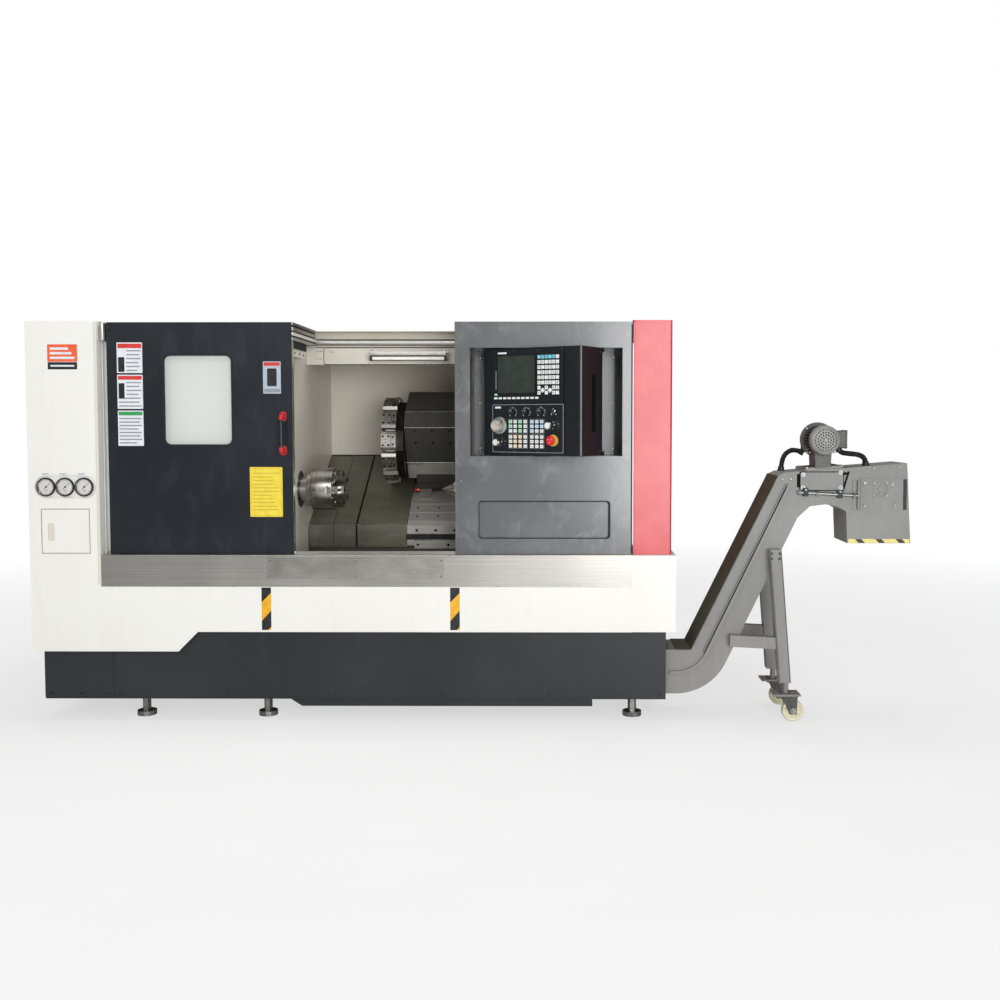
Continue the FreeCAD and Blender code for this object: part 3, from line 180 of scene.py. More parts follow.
# Extruded polycarbonate window. To the eye: clear, with a faint cool tint and fine wipe scratches in the shine.
def clearGlazing(name):
    material, tree, spot = newMaterial(name)
    scratches = addNode(tree, "TexNoise", {"Scale": perMetre(14), "Detail": 6, "Distortion": 1.5}, {"Vector": spot})
    shine = addNode(tree, "MapRange", {"To Min": 0.03, "To Max": 0.14}, {"Value": scratches})
    settings = {"Base Color": toLinear("#EEF2F0"), "IOR": 1.585, "Alpha": 0.3}
    addNode(tree, "OutputMaterial", {}, {"Surface": addNode(tree, "BsdfPrincipled", settings, {"Roughness": shine})})
    return material


plain = {"cloud": 420, "wipe": 60, "wipeRun": (1, 1, 0.12), "wipeTurn": (0, 0, 0), "wipeShow": 0.25, "rub": 240,
    "rubShow": 0.2, "dustTop": 0.9, "dustShow": 0.3, "dustColour": "#8A857A", "rough": (0.32, 0.48), "peel": 3.0,
    "peelShow": 0.12, "shine": 0.4, "coat": 0.0}

whitePowderCoat = coatedSteel("white powder-coated sheet steel", "#F1F1EC", "#EEEDE8", "#E4E3DC", "#CFCDC4",
    wipeShow=0.3, dustColour="#D8D3C8", rough=(0.3, 0.42))
creamPaint = coatedSteel("cream sprayed sheet steel", "#E3DFD3", "#D8D3C6", "#C6C0B2", "#A9A392")
darkDoorEnamel = coatedSteel("dark grey enamelled door sheet", "#121920", "#1E252C", "#3A4148", "#7E8286",
    wipeShow=0.3, cloud=520, wipe=90, wipeRun=(1, 1, 0.4), rubShow=0.3, rough=(0.3, 0.46), shine=0.35, coat=0.15,
    dustShow=0.02)
darkPanelEnamel = coatedSteel("dark grey enamelled front panel", "#2D3136", "#5A5E62", "#8A8C8F", "#B4B3AF",
    wipeShow=0.45, cloud=620, wipe=70, wipeRun=(0.7, 1, 0.5), wipeTurn=(0, 0.5, 0), rubShow=0.6, rub=150,
    rough=(0.3, 0.46), shine=1.0, coat=0.9, dustShow=0.03)
plinthPaint = coatedSteel("dark sprayed plinth sheet", "#12151A", "#1B2026", "#3D4247", "#6F7273", wipeShow=0.2,
    cloud=700, wipe=130, wipeRun=(0.5, 1, 0.6), rubShow=0.12, dustColour="#55575A", dustTop=0.4, dustShow=0.22,
    rough=(0.3, 0.44), shine=0.4, coat=0.3)
redEnamel = coatedSteel("red enamelled end cover", "#D24850", "#DB5C62", "#E77C80", "#EFA7A5", wipeShow=0.4,
    cloud=170, rough=(0.3, 0.5), shine=0.5, coat=0.3, dustShow=0.05)
greyConveyorPaint = coatedSteel("grey sprayed conveyor sheet", "#7F7F7E", "#8E8E8C", "#A3A29E", "#C0BEB6",
    wipeShow=0.3, rough=(0.35, 0.55), dustShow=0.25)
oliveCoverPaint = coatedSteel("dark olive sprayed cover sheet", "#3F4236", "#4E503E", "#686A56", "#A29C86",
    dustShow=0.2, rough=(0.5, 0.65), shine=0.25)
machineGreyPaint = coatedSteel("grey enamelled casting", "#5C605F", "#6A6D6B", "#7F817D", "#A6A59D", peel=6.0,
    peelShow=0.3)
castIron = coatedSteel("machine-grey painted cast iron", "#3B3B36", "#47463F", "#5E5C52", "#8C887A", peel=5.0,
    peelShow=0.5, rough=(0.4, 0.6))
blackPowderCoat = coatedSteel("black powder-coated control housing", "#15191D", "#1B2024", "#2B3035", "#5D6165",
    rough=(0.38, 0.5), shine=0.35, peel=2.0, peelShow=0.2, dustShow=0.0)

brushed = {"grain": 4.0, "grainRun": (0.02, 1, 1), "film": 160, "rough": (0.26, 0.42), "grainShow": 0.12,
    "metal": 1.0}
brushedStainless = cutMetal("brushed stainless sill strip", "#C4C2BC", "#A19F9A", grain=2.2, grainRun=(0.006, 1, 1),
    film=700, rough=(0.3, 0.38), grainShow=0.08)
coverSteel = coatedSteel("oiled dark spring-steel bed cover", "#4E4C40", "#636050", "#8C8872", "#B9B49C",
    wipeShow=0.35, cloud=240, wipe=45, wipeRun=(0.35, 1, 1), rub=90, rubShow=0.35, rough=(0.26, 0.42), shine=0.9,
    coat=0.5, dustShow=0.0, peel=1.5)
turnedSteel = cutMetal("turned and ground alloy steel", "#CBC8C0", "#A09C93", grainRun=(1, 0.04, 0.04), grain=1.2,
    rough=(0.2, 0.3), film=260, grainShow=0.05)
milledToolSteel = cutMetal("milled tool-block steel", "#D2CFC8", "#9C9990", grainRun=(1, 0.1, 1), grain=1.5,
    rough=(0.3, 0.42), film=120, grainShow=0.06)
zincPlate = cutMetal("zinc-plated pressed steel", "#B3B4B2", "#7E807F", film=30, grainRun=(1, 1, 1), rough=(0.3, 0.5))
castAluminium = cutMetal("satin cast-aluminium wheel", "#D6D5D1", "#B9B8B4", film=60, grain=1.0, grainRun=(1, 1, 1),
    rough=(0.34, 0.44), grainShow=0.04, metal=0.85)

moulded = {"mark": 40, "grain": 1.2, "grainShow": 0.1, "rough": (0.3, 0.45)}
redAbs = mouldedPlastic("moulded red ABS grip", moulded, "#C3222A", "#CE3A3E")
blackAbs = mouldedPlastic("moulded black ABS knob", moulded, "#17181A", "#232427")
stopRed = mouldedPlastic("moulded red stop mushroom", moulded, "#D0161C", "#DC2C2E", rough=(0.2, 0.32))
whiteAbs = mouldedPlastic("moulded white push button", moulded, "#E9EAE6", "#DADBD6")
nylonWheel = mouldedPlastic("cast nylon caster wheel", moulded, "#E9E2C6", "#CFC7A9", mark=25)
lampAcrylic = mouldedPlastic("extruded opal acrylic lamp tube", moulded, "#E8E7E2", "#DCDAD3", glow="#FFFDF4",
    glowStrength=0.35)
screenGlass = mouldedPlastic("dark glass display", moulded, "#333A36", "#3B423D", rough=(0.08, 0.14), coat=0.6,
    grainShow=0.0)
clearPolycarbonate = clearGlazing("extruded clear polycarbonate window")

finishes = {"cast_iron": castIron, "dark_steel": plinthPaint, "zinc_steel": zincPlate, "white_paint": whitePowderCoat,
    "cream_paint": creamPaint, "brushed_steel": brushedStainless, "red_paint": redEnamel,
    "dark_paint": darkPanelEnamel, "lamp_glass": lampAcrylic, "grey_paint": greyConveyorPaint,
    "bare_steel": turnedSteel, "tool_steel": milledToolSteel, "window_glass": clearPolycarbonate,
    "handle_red": redAbs, "panel_black": blackPowderCoat, "screen_glass": screenGlass, "wheel_silver": castAluminium,
    "stop_red": stopRed, "button_white": whiteAbs, "knob_black": blackAbs, "olive_paint": oliveCoverPaint,
    "fork_zinc": zincPlate, "wheel_cream": nylonWheel}
slideCoverSteel = cutMetal("brushed stainless slide cover", "#BDBBB5", "#8C8A84", grain=2.0, grainRun=(0.01, 1, 1),
    rough=(0.34, 0.46), film=260, metal=0.6)
blackenedDisc = cutMetal("blackened and oiled turret disc", "#4A4843", "#2A2926", film=80, grain=3.0,
    grainRun=(1, 0.2, 0.2), rough=(0.28, 0.42))
darkPress = coatedSteel("black sprayed caster pressing", "#3A3B3C", "#4A4B4B", "#6A6A68", "#96948C", cloud=30,
    wipe=12, dustShow=0.2)
ownFinish = {"sliding_door": darkDoorEnamel, "bed_cover_fixed": coverSteel, "bed_cover_middle": coverSteel,
    "bed_cover_front": coverSteel, "spindle_motor": machineGreyPaint, "axis_motor": machineGreyPaint,
    "conveyor_motor": greyConveyorPaint, "carriage": slideCoverSteel, "headstock_guard": creamPaint,
    "turret_disc": blackenedDisc, "caster_fork_1": darkPress, "caster_fork_2": darkPress}
for name, node in nodes.items():
    for place in node.material_slots:
        place.material = ownFinish.get(name, finishes[place.material.name.split(".")[0]])
print("materials made:", len(bpy.data.materials))


# Meshes are drawn in machine millimetres on flat sheets: u to the right, w up the sheet, h out of it.
def sheetAt(x, y, z, right=(1, 0, 0), up=(0, 0, 1)):
    across, along = Vector(right), Vector(up)
    place = Matrix((across, along, across.cross(along))).transposed().to_4x4()
    place.translation = Vector((x, y, z))
    return place


def frontAt(y):  # the sheet that faces the front at that depth
    return sheetAt(0, y, 0)


def rightAt(x):  # the sheet that faces right: u is y, w is z, h is x from there
    return sheetAt(x, 0, 0, (0, 1, 0))


def upAt(x=0, y=0, z=0):  # the sheet that faces up: u is x, w is y
    return sheetAt(x, y, z, (1, 0, 0), (0, 1, 0))


def around(u, w, reach, turn):  # the point at that distance and angle from (u, w)
    return u + reach * cos(turn), w + reach * sin(turn)


def circle(u, w, radius, sides=32, start=0):  # also for screws spaced on a circle; start is in degrees
    return [around(u, w, radius, radians(start) + 2 * pi * k / sides) for k in range(sides)]


def rectangle(u0, u1, w0, w1):
    return [(u0, w0), (u1, w0), (u1, w1), (u0, w1)]


def rounded(u0, u1, w0, w1, corner, steps=6):
    left, right, low, high = u0 + corner, u1 - corner, w0 + corner, w1 - corner
    centres = ((right, low, -90), (right, high, 0), (left, high, 90), (left, low, 180))
    return [around(u, w, corner, radians(start + 90 * k / steps)) for u, w, start in centres
        for k in range(steps + 1)]


def inset(box, by, corner, steps=6):  # a box (u0, u1, w0, w1) drawn in on all sides, with that corner radius
    u0, u1, w0, w1 = box
    return rounded(u0 + by, u1 - by, w0 + by, w1 - by, corner, steps)


def turnedBar(u, w, length, width, angle):  # corners of a bar through (u, w), lying at that angle in degrees
    c, s = cos(radians(angle)), sin(radians(angle))
    return [(u + a * c - b * s, w + a * s + b * c) for a, b in rectangle(-length / 2, length / 2, -width / 2,
        width / 2)]


bm = bmesh.new()  # the piece being drawn, which finishPiece turns into an object and empties


def addRim(plane, shape, level):
    return [bm.verts.new(plane @ Vector((u, w, level))) for u, w in shape]


def joinRims(near, far, tint):
    for k in range(len(near)):
        n = (k + 1) % len(near)
        bm.faces.new((near[k], near[n], far[n], far[k])).material_index = tint


def addPlate(plane, shape, low, high, tint=0):
    bottom, top = addRim(plane, shape, low), addRim(plane, shape, high)
    bm.faces.new(top).material_index = tint
    bm.faces.new(bottom[::-1]).material_index = tint
    joinRims(bottom, top, tint)


def addBox(plane, u0, u1, w0, w1, low, high, tint=0):
    addPlate(plane, rectangle(u0, u1, w0, w1), low, high, tint)


def addFrame(plane, outer, inner, low, high, tint=0):  # a plate with a hole, both outlines with as many points
    rims = [addRim(plane, *rim) for rim in ((outer, low), (outer, high), (inner, high), (inner, low))]
    for near, far in zip(rims, rims[1:] + rims[:1]):
        joinRims(near, far, tint)


def addBorder(plane, box, outer, inner, low, high, tint=0, steps=6):  # a frame along a box, from two (by, corner)
    addFrame(plane, inset(box, *outer, steps), inset(box, *inner, steps), low, high, tint)


# a profile of (radius, height) spun about the sheet's normal
def addTurned(plane, centre, profile, sides=40, tint=0):
    rows = []
    for radius, height in profile:
        if rows and (radius, height) == profile[0]:
            rows.append(rows[0])
        else:
            rows.append(addRim(plane, [centre] if radius <= 0 else circle(*centre, radius, sides), height))
    for near, far in zip(rows, rows[1:]):
        for k in range(sides):
            n = (k + 1) % sides
            corners = (near[k % len(near)], near[n % len(near)], far[n % len(far)], far[k % len(far)])
            bm.faces.new(list(dict.fromkeys(corners))).material_index = tint


def addTube(points, radii, sides=16, tint=0):  # a tube along points, with one radius or one for each point
    points = [Vector(point) for point in points]
    radii = radii if isinstance(radii, list) else [radii] * len(points)
    rows, side = [], None
    for k, point in enumerate(points):
        ahead = (points[min(k + 1, len(points) - 1)] - points[max(k - 1, 0)]).normalized()
        side = ahead.orthogonal().normalized() if side is None else (side - ahead * side.dot(ahead)).normalized()
        over = ahead.cross(side)
        ring = [side * c + over * s for c, s in circle(0, 0, 1, sides)]
        rows.append([bm.verts.new(point + out * radii[k]) for out in ring])
    for near, far in zip(rows, rows[1:]):
        joinRims(near, far, tint)
    bm.faces.new(rows[0][::-1]).material_index = tint
    bm.faces.new(rows[-1]).material_index = tint


def addScrew(plane, u, w, radius, level, tint, socketTint):  # a socket or pan head with its key hole
    profile = [(0, 0), (1, 0), (1, 0.5), (0.78, 0.75), (0, 0.75)]
    addTurned(plane, (u, w), [(radius * a, level + radius * b) for a, b in profile], 16, tint)
    addPlate(plane, circle(u, w, 0.42 * radius, 6), level + 0.74 * radius, level + 0.8 * radius, socketTint)


def addScrews(plane, places, *size):
    for u, w in places:
        addScrew(plane, u, w, *size)


def soften(piece, edge):  # a small round on each hard edge, so that it catches light
    bevel = piece.modifiers.new("soft edges", "BEVEL")
    bevel.width = edge / 1000
    bevel.segments = 2
    bevel.limit_method = "ANGLE"
    bevel.angle_limit = radians(32)
    bevel.harden_normals = True


def finishPiece(name, materials, body, edge=0.5, standsFor=()):
    for vertex in bm.verts:
        vertex.co = at(*vertex.co)
    bmesh.ops.recalc_face_normals(bm, faces=bm.faces)
    mesh = bpy.data.meshes.new(name)
    bm.to_mesh(mesh)
    bm.clear()
    for material in materials:
        mesh.materials.append(material)
    for face in mesh.polygons:
        face.use_smooth = True
    piece = bpy.data.objects.new(name, mesh)
    bpy.context.collection.objects.link(piece)
    if edge:
        soften(piece, edge)
    else:
        mesh.set_sharp_from_angle(angle=radians(35))
    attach(piece, body)
    if standsFor:
        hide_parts(*standsFor)


front, roof, rightward = frontAt(0), upAt(), rightAt(0)
ahead = Vector((1, 0, 0))
slopeUp = Vector((0, cos(radians(30)), sin(radians(30))))  # up the slant bed
slopeOut = Vector((0, -sin(radians(30)), cos(radians(30))))  # square to it
spindle = (0, 410, 1058)  # a point on the spindle's axis
slope = sheetAt(*spindle, ahead, slopeUp)
slopeEnd = sheetAt(*spindle, slopeUp, slopeOut)  # faces right: u up the slope, w square to it
spindleFace = sheetAt(*spindle, (0, 1, 0))

# printed vinyl, rubber, enamel and small metal for the details
printed = {"mark": 30, "grain": 0.8, "grainShow": 0.05, "rough": (0.32, 0.45), "shine": 0.4}
rubber = {"mark": 20, "grain": 1.0, "grainShow": 0.2, "rough": (0.5, 0.65), "shine": 0.3}
blackRubber = mouldedPlastic("extruded black rubber", rubber, "#1B1C1D", "#2A2B2C", rough=(0.55, 0.7))
greyRubber = mouldedPlastic("extruded grey rubber gasket", rubber, "#6F7376", "#85888A")
whiteVinyl = mouldedPlastic("printed white vinyl", printed, "#E8EBEE", "#D7DDE3")
orangeVinyl = mouldedPlastic("printed orange vinyl", printed, "#F0693F", "#E85F38")
blackVinyl = mouldedPlastic("printed black vinyl", printed, "#1D1E20", "#2C2D30")
yellowVinyl = mouldedPlastic("printed yellow vinyl", printed, "#F2DC4C", "#E4CB3A")
hazardYellow = mouldedPlastic("printed amber safety tape", printed, "#F3B62D", "#E4A31F")
redVinyl = mouldedPlastic("printed red vinyl", printed, "#DC3B3A", "#C93231")
greenVinyl = mouldedPlastic("printed green vinyl", printed, "#3FA35B", "#35924F")
greyInk = mouldedPlastic("printed grey ink", printed, "#8A8F96", "#9CA1A8")
chromeRing = cutMetal("chromed and turned brass ring", "#DDDDDB", "#8F8F8E", film=12, grain=1.0, grainRun=(1, 1, 1),
    rough=(0.08, 0.18), grainShow=0.03)
dialEnamel = mouldedPlastic("enamelled pale dial", printed, "#D8D7D2", "#CFCEC8")
profileAluminium = cutMetal("extruded and anodised aluminium profile", "#D3D1CB", "#A5A39D", grainRun=(1, 0.03, 1),
    rough=(0.3, 0.42), film=90)
blackOxide = cutMetal("black-oxided steel screw", "#3A3A39", "#1C1C1C", film=8, grain=1.0, grainRun=(1, 1, 1),
    rough=(0.3, 0.45))
darkHole = mouldedPlastic("shaded blackened bore", printed, "#101112", "#18191A", rough=(0.7, 0.9), shine=0.1)
# bright steel strips laid on edges, which also paint the highlight that each edge catches
brightEdgeAndHighlight = cutMetal("ground bright steel edge strip and painted edge highlight", "#DAD7CF", "#AFACA3", film=40, rough=(0.25, 0.35))
keyWhite = mouldedPlastic("moulded white key cap", printed, "#ECEDEB", "#DFE1DF", mark=9)
keyCyan = mouldedPlastic("moulded cyan key cap", printed, "#6CC7DA", "#58B6CB", mark=9)
keyGreen = mouldedPlastic("moulded pale green key cap", printed, "#A4DDB2", "#BFE8C9", mark=9)
keyBlue = mouldedPlastic("moulded pale blue key cap", printed, "#CFE4F3", "#C0D9EC", mark=9)
keyCream = mouldedPlastic("moulded cream key cap", printed, "#F3E6CD", "#EBDABC", mark=9)
stopYellow = mouldedPlastic("moulded yellow stop base", moulded, "#EBCB55", "#E0BC43")
keyTrim = coatedSteel("black sprayed key bezel", "#101418", "#171C20", "#242A2F", "#54585B", rough=(0.35, 0.5),
    shine=0.35, dustShow=0.0, peel=1.5)
print("mesh tools ready")

# left cabinet: a plain two-colour badge, three gauges, small plates, a cream strip that paints the shade of its
# rounded corner, and roller cover
badge = {"left": 103, "right": 240, "bottom": 1632, "split": 1667, "top": 1746, "thick": 0.8}
left, right, thick = badge["left"], badge["right"], badge["thick"]
addPlate(front, rounded(left, right, badge["split"], badge["top"], 3), 0, thick, 0)
for k in range(3):
    level = badge["split"] + 12 + 21 * k
    addBox(front, left + 12, right - 12 - 14 * k, level, level + 11, thick, thick + 0.3, 1)
addPlate(front, rounded(left + 1, right - 1, badge["bottom"], badge["split"] - 2, 3), 0, thick, 2)
addBox(front, left + 14, right - 14, badge["bottom"] + 12, badge["split"] - 15, thick, thick + 0.3, 1)
finishPiece("cabinet_badge", [orangeVinyl, whiteVinyl, blackVinyl], "machine", 0.2)

gauge = {"places": (86, 174, 262), "height": 1093, "radius": 44, "floor": -12, "rim": 11, "ticks": 25}
r, top = gauge["radius"], gauge["rim"]
for x in gauge["places"]:
    addTurned(front, (x, gauge["height"]), [(0, gauge["floor"]), (r - 2, gauge["floor"]), (r - 2, top - 5),
        (r, top - 3), (r, top), (r - 2, top + 2), (r - 8.5, top + 2), (r - 10, top), (r - 10, top - 4), (0, top - 4)],
        64, 0)
    addTurned(front, (x, gauge["height"]), [(r - 7.5, top + 1.6), (r - 6, top + 3.2), (r - 8, top + 3.2),
        (r - 10.5, top - 0.5), (r - 9, top - 1.5), (r - 7.5, top + 1.6)], 64, 1)
    addPlate(front, circle(x, gauge["height"], r - 9.5, 48), top - 4.2, top - 3.6, 2)
    for k in range(gauge["ticks"]):
        turn = radians(225 - 270 * k / (gauge["ticks"] - 1))
        long = 5.2 if k % 4 == 0 else 3.0
        middle = r - 12.2 - long / 2
        addPlate(front, turnedBar(*around(x, gauge["height"], middle, turn), long, 1.1 if k % 4 == 0 else 0.6,
            degrees(turn)), top - 3.6, top - 3.45, 3)
    addPlate(front, [(x + a, gauge["height"] + b) for a, b in ((-12.6, -11.6), (-11.6, -12.6), (21.2, 20.0),
        (20.4, 20.8))], top - 2.6, top - 2.2, 3)
    addTurned(front, (x, gauge["height"]), [(0, top - 3.6), (4.2, top - 3.6), (4.2, top - 1.6), (3.2, top - 1.0),
        (0, top - 1.0)], 20, 3)
    for low, high in ((-9, -6.5), (-13.5, -11.5)):
        addBox(front, x - 7, x + 7, gauge["height"] + low - 6, gauge["height"] + high - 6, top - 3.6, top - 3.5, 4)
finishPiece("pressure_gauges", [blackAbs, chromeRing, dialEnamel, blackVinyl, greyInk], "machine", 0.3)

legend = {"places": (80, 162, 247), "bottom": 1148, "top": 1158, "half": 17}
for x in legend["places"]:
    left, right = x - legend["half"], x + legend["half"]
    addPlate(front, rounded(left, right, legend["bottom"], legend["top"], 2), 0, 0.7, 0)
    addBox(front, left + 3, right - 3, legend["bottom"] + 3, legend["top"] - 3.5, 0.7, 0.85, 1)
addBorder(front, (28, 320, 1038, 1148), (0, 54.9), (2.5, 52.4), -1.0, 0.9, 2, 12)
finishPiece("gauge_plates", [whiteVinyl, greyInk, whitePowderCoat], "machine", 0.2)

roll = {"left": 330, "right": 356, "low": 1764, "high": 1850}
middle, low, high = (roll["left"] + roll["right"]) / 2, roll["low"], roll["high"]
# a cream strip along the cabinet's right front edge paints the shade of its rounded corner
addBox(front, 314, 326.5, 640, 1848, -0.5, 0.5, 0)
addTurned(roof, (middle, 32), [(0, low), (12, low), (13, low + 2), (13, high - 3), (11, high), (0, high)], 32, 1)
for level in (low + 6, high - 12):
    addBox(roof, roll["left"] - 3, roll["left"] + 8, 26, 60, level, level + 6, 1)
finishPiece("cabinet_corner", [creamPaint, profileAluminium], "machine", 1.0)

access = {"door": (58, 280, 786, 991), "pull": (86, 117, 843, 927)}
left, right, low, high = access["door"]
addBorder(front, access["door"], (-1.5, 2), (0.6, 2), 0.05, 0.5, 0)
finishPiece("access_surround", [greyRubber], "machine", 0.2)
addBorder(front, access["pull"], (-4, 11), (0.8, 9), -1.5, 1.2, 0)
# a cream plate on the floor of the pull recess paints the shade inside it
addPlate(front, inset(access["pull"], 0.5, 9), -4.9, -4.6, 1)
rims = [rectangle(left + by, right - by, low + by, high - by) for by in (3, 4.2)]
addFrame(front, *rims, 0, 0.35, 2)
finishPiece("access_pull", [whitePowderCoat, creamPaint, creamPaint], "access_door", 0.6)
print("cabinet dressed")

# lower front: hazard tapes, bare name plate, lifted lips and screws
tape = {"middles": (1091, 1963), "half": 22, "bottom": 430, "top": 628}
for x in tape["middles"]:
    left, right = x - tape["half"], x + tape["half"]
    addBox(front, left, right, tape["bottom"], tape["top"], 0, 0.5, 0)
    addPlate(front, [(left, tape["top"]), (left, 558.5), (right, 603.6), (right, tape["top"])], 0.5, 0.7, 1)
    addPlate(front, [(left, tape["bottom"]), (left + 30, tape["bottom"]), (right, 446), (right, 521), (left, 472)],
        0.5, 0.7, 1)
finishPiece("hazard_tapes", [hazardYellow, blackVinyl], "machine", 0)

plate = {"box": (1096, 1913, 668, 766), "thick": 2.0}
left, right, low, high = plate["box"]
addPlate(front, inset(plate["box"], 0, 6), 0, plate["thick"], 0)
addBorder(front, plate["box"], (7, 4), (9, 3), plate["thick"], plate["thick"] + 0.25, 1)
places = [(x, z) for x in (left + 14, (left + right) / 2, right - 14) for z in (low + 13, high - 13)]
addScrews(front, places, 5, plate["thick"], 2, 3)
brushedPlate = cutMetal("brushed aluminium name plate left bare", "#B0AEA6", "#8D8B84", grain=1.5,
    grainRun=(0.02, 1, 1), rough=(0.36, 0.46), film=120)
finishPiece("bare_name_plate", [brushedPlate, greyInk, turnedSteel, darkHole], "machine", 0.4)

sillTrim = {"left": 329, "right": 2779, "bottom": 631, "top": 778}
addBox(front, sillTrim["left"], sillTrim["right"], sillTrim["top"] - 3.5, sillTrim["top"] + 0.6, 0, 1.6, 0)
addBox(front, sillTrim["left"], sillTrim["right"], sillTrim["bottom"], sillTrim["bottom"] + 4, 0, 1.4, 0)
addBox(front, sillTrim["left"], sillTrim["right"], 420.5, 424.5, -2, 1.2, 1)
finishPiece("sill_lips", [brightEdgeAndHighlight, whitePowderCoat], "machine", 0.8)
print("lower front dressed")

# sliding door: gasket, bare labels, edge flange with its seal, handle and the roof leaf's side profiles
window = {"box": (619, 937, 1282, 1702), "corner": 33, "width": 4, "rise": 2.2}
doorFace = frontAt(40)


def windowRing(grow):
    return inset(window["box"], -grow, window["corner"] + grow, 10)


addFrame(doorFace, windowRing(window["width"]), windowRing(0.5), 0, window["rise"], 0)
addFrame(doorFace, windowRing(1.5), windowRing(-6), -2.4, 1.8, 1)
finishPiece("window_gasket", [blackRubber, blackRubber], "door", 1.4)

label = {"left": 405, "right": 523, "rise": 0.5, "ink": 0.65}
slateVinyl = mouldedPlastic("printed slate-blue vinyl", printed, "#B4BFCC", "#A6B2C1")
# each label's lowest and highest level, its fields as tint, low, high, left, right, and its lines' low, left, right
labels = [
    (1617, 1757, ((1, 1731, 1752, 409, 519), (2, 1622, 1690, 411, 440)),
     ((1716, 449, 517), (1698, 449, 510), (1680, 449, 515), (1662, 449, 505), (1644, 449, 512), (1626, 449, 498))),
    (1452, 1609, ((1, 1586, 1604, 409, 519), (2, 1500, 1570, 411, 438)),
     ((1570, 447, 515), (1552, 447, 508), (1534, 447, 516), (1516, 447, 502), (1498, 411, 512), (1480, 411, 506),
     (1462, 411, 516))),
    (1281, 1444, ((4, 1422, 1439, 409, 519),),
     ((1404, 411, 512), (1388, 411, 506), (1372, 411, 516), (1356, 411, 500), (1340, 411, 514), (1324, 411, 508),
     (1308, 411, 516), (1292, 411, 490))),
]
rise, ink = label["rise"], label["ink"]
for low, high, fields, ruled in labels:
    addPlate(doorFace, rounded(label["left"], label["right"], low, high, 3), 0, rise, 0)
    for tint, bottom, top, left, right in fields + tuple((3, level, level + 6, left, right) for level, left,
            right in ruled):
        addBox(doorFace, left, right, bottom, top, rise, ink, tint)
addPlate(doorFace, rounded(1079, 1161, 1522, 1670, 3), 0, rise, 5)
addBox(doorFace, 1083, 1157, 1650, 1666, rise, ink, 1)
addBox(doorFace, 1083, 1157, 1528, 1544, rise, ink, 3)
addPlate(doorFace, rounded(1098, 1142, 1556, 1638, 6), rise, ink, 2)
finishPiece("door_labels", [whiteVinyl, redVinyl, blackVinyl, greyInk, greenVinyl, slateVinyl], "door",
    0)

chart = {"left": 1012, "right": 1163, "bottom": 952, "top": 1183, "rise": 0.8}
yellowInk = mouldedPlastic("printed ochre ruling", printed, "#B9A23A", "#C7B048")
left, right, low, high, rise = chart.values()
addPlate(doorFace, rounded(left, right, low, high, 4), 0, rise, 0)
rims = [rectangle(left + by, right - by, low + by, high - by) for by in (6, 7.2)]
addFrame(doorFace, *rims, rise, rise + 0.15, 1)
for k in range(11):
    level = high - 30 - 17 * k
    addBox(doorFace, left + 14, right - 14 - (k * 37) % 46, level, level + 3.2, rise, rise + 0.15, 1)
finishPiece("door_chart", [yellowVinyl, yellowInk], "door", 0)

doorEdge = {"left": 360, "flange": 1186, "right": 1206, "seal": 1212.6, "low": 782, "high": 1846}
left, flange, right, seal, low, high = doorEdge.values()
addBox(doorFace, flange, right, low, high, -1, 2.2, 0)
# an aluminium strip on the right face of the door's edge seal paints the bright highlight along that edge
addBox(rightward, 42, 73, low, high - 76, 1211.5, 1213.4, 1)
addBox(doorFace, right, seal, low, high, -32, 0.4, 2)
addBox(doorFace, left, right, high - 5, high + 4, -1, 2.0, 0)
addBox(doorFace, left, flange, low - 1, low + 4, -1, 1.6, 0)
addScrews(doorFace, [(left + 12, z) for z in (812, 1060, 1310, 1560, 1812)], 5, 0, 0, 3)
finishPiece("door_edges", [darkDoorEnamel, profileAluminium, blackRubber, darkHole], "door", 0.8)

grip = {"x": 1171, "low": 1237, "high": 1440, "bar": -8}
for z, away in ((grip["low"], 1), (grip["high"], -1)):
    foot = (z, z + away * 46)
    addPlate(doorFace, rounded(grip["x"] - 15, grip["x"] + 15, min(foot), max(foot), 13), 0, 9, 0)
    bend = ((38, 17), (22, 17), (6, 19), (-4, 27), (grip["bar"], 40))
    addTube([(grip["x"], y, z + away * rise) for y, rise in bend], [13.5, 13, 12.5, 12, 11], 24, 0)
    addScrew(frontAt(31), grip["x"], z + away * 38, 5, 0, 2, 3)
levels = (grip["low"] + 34, grip["low"] + 44, grip["high"] - 44, grip["high"] - 34)
addTube([(grip["x"], grip["bar"], z) for z in levels], [9.5, 10.5, 10.5, 9.5], 28, 1)
finishPiece("moulded_door_handle", [redAbs, darkDoorEnamel, turnedSteel, darkHole], "door", 1.0,
    ["door_handle"])

# right side of the roof leaf: a stack of aluminium profiles with a black seal block under it
profiles = {"front": 76, "back": 520, "face": 1207}
lines = [(1838, 1850, 0, 12), (1829, 1837, 1, 9), (1812, 1828, 0, 13.5), (1806, 1811, 1, 8.5), (1790, 1805, 2, 12),
    (1783, 1789, 1, 8.5), (1768, 1782, 0, 11)]
leafFace = rightAt(profiles["face"])
for low, high, tint, proud in lines:
    addBox(leafFace, profiles["front"] - 34, profiles["back"], low, high, 0, proud, tint)
addBox(leafFace, profiles["front"] + 4, profiles["back"] - 170, 1733, 1769, -20, 3, 1)
addBox(leafFace, profiles["front"] + 4, profiles["back"] - 190, 1697, 1733, -20, 0, 2)
addScrews(leafFace, [(y, 1714) for y in (120, 210, 290)], 6, 0, 3, 4)
finishPiece("roof_leaf_profiles", [profileAluminium, blackRubber, creamPaint, turnedSteel, darkHole], "door",
    0.8)
print("door dressed")
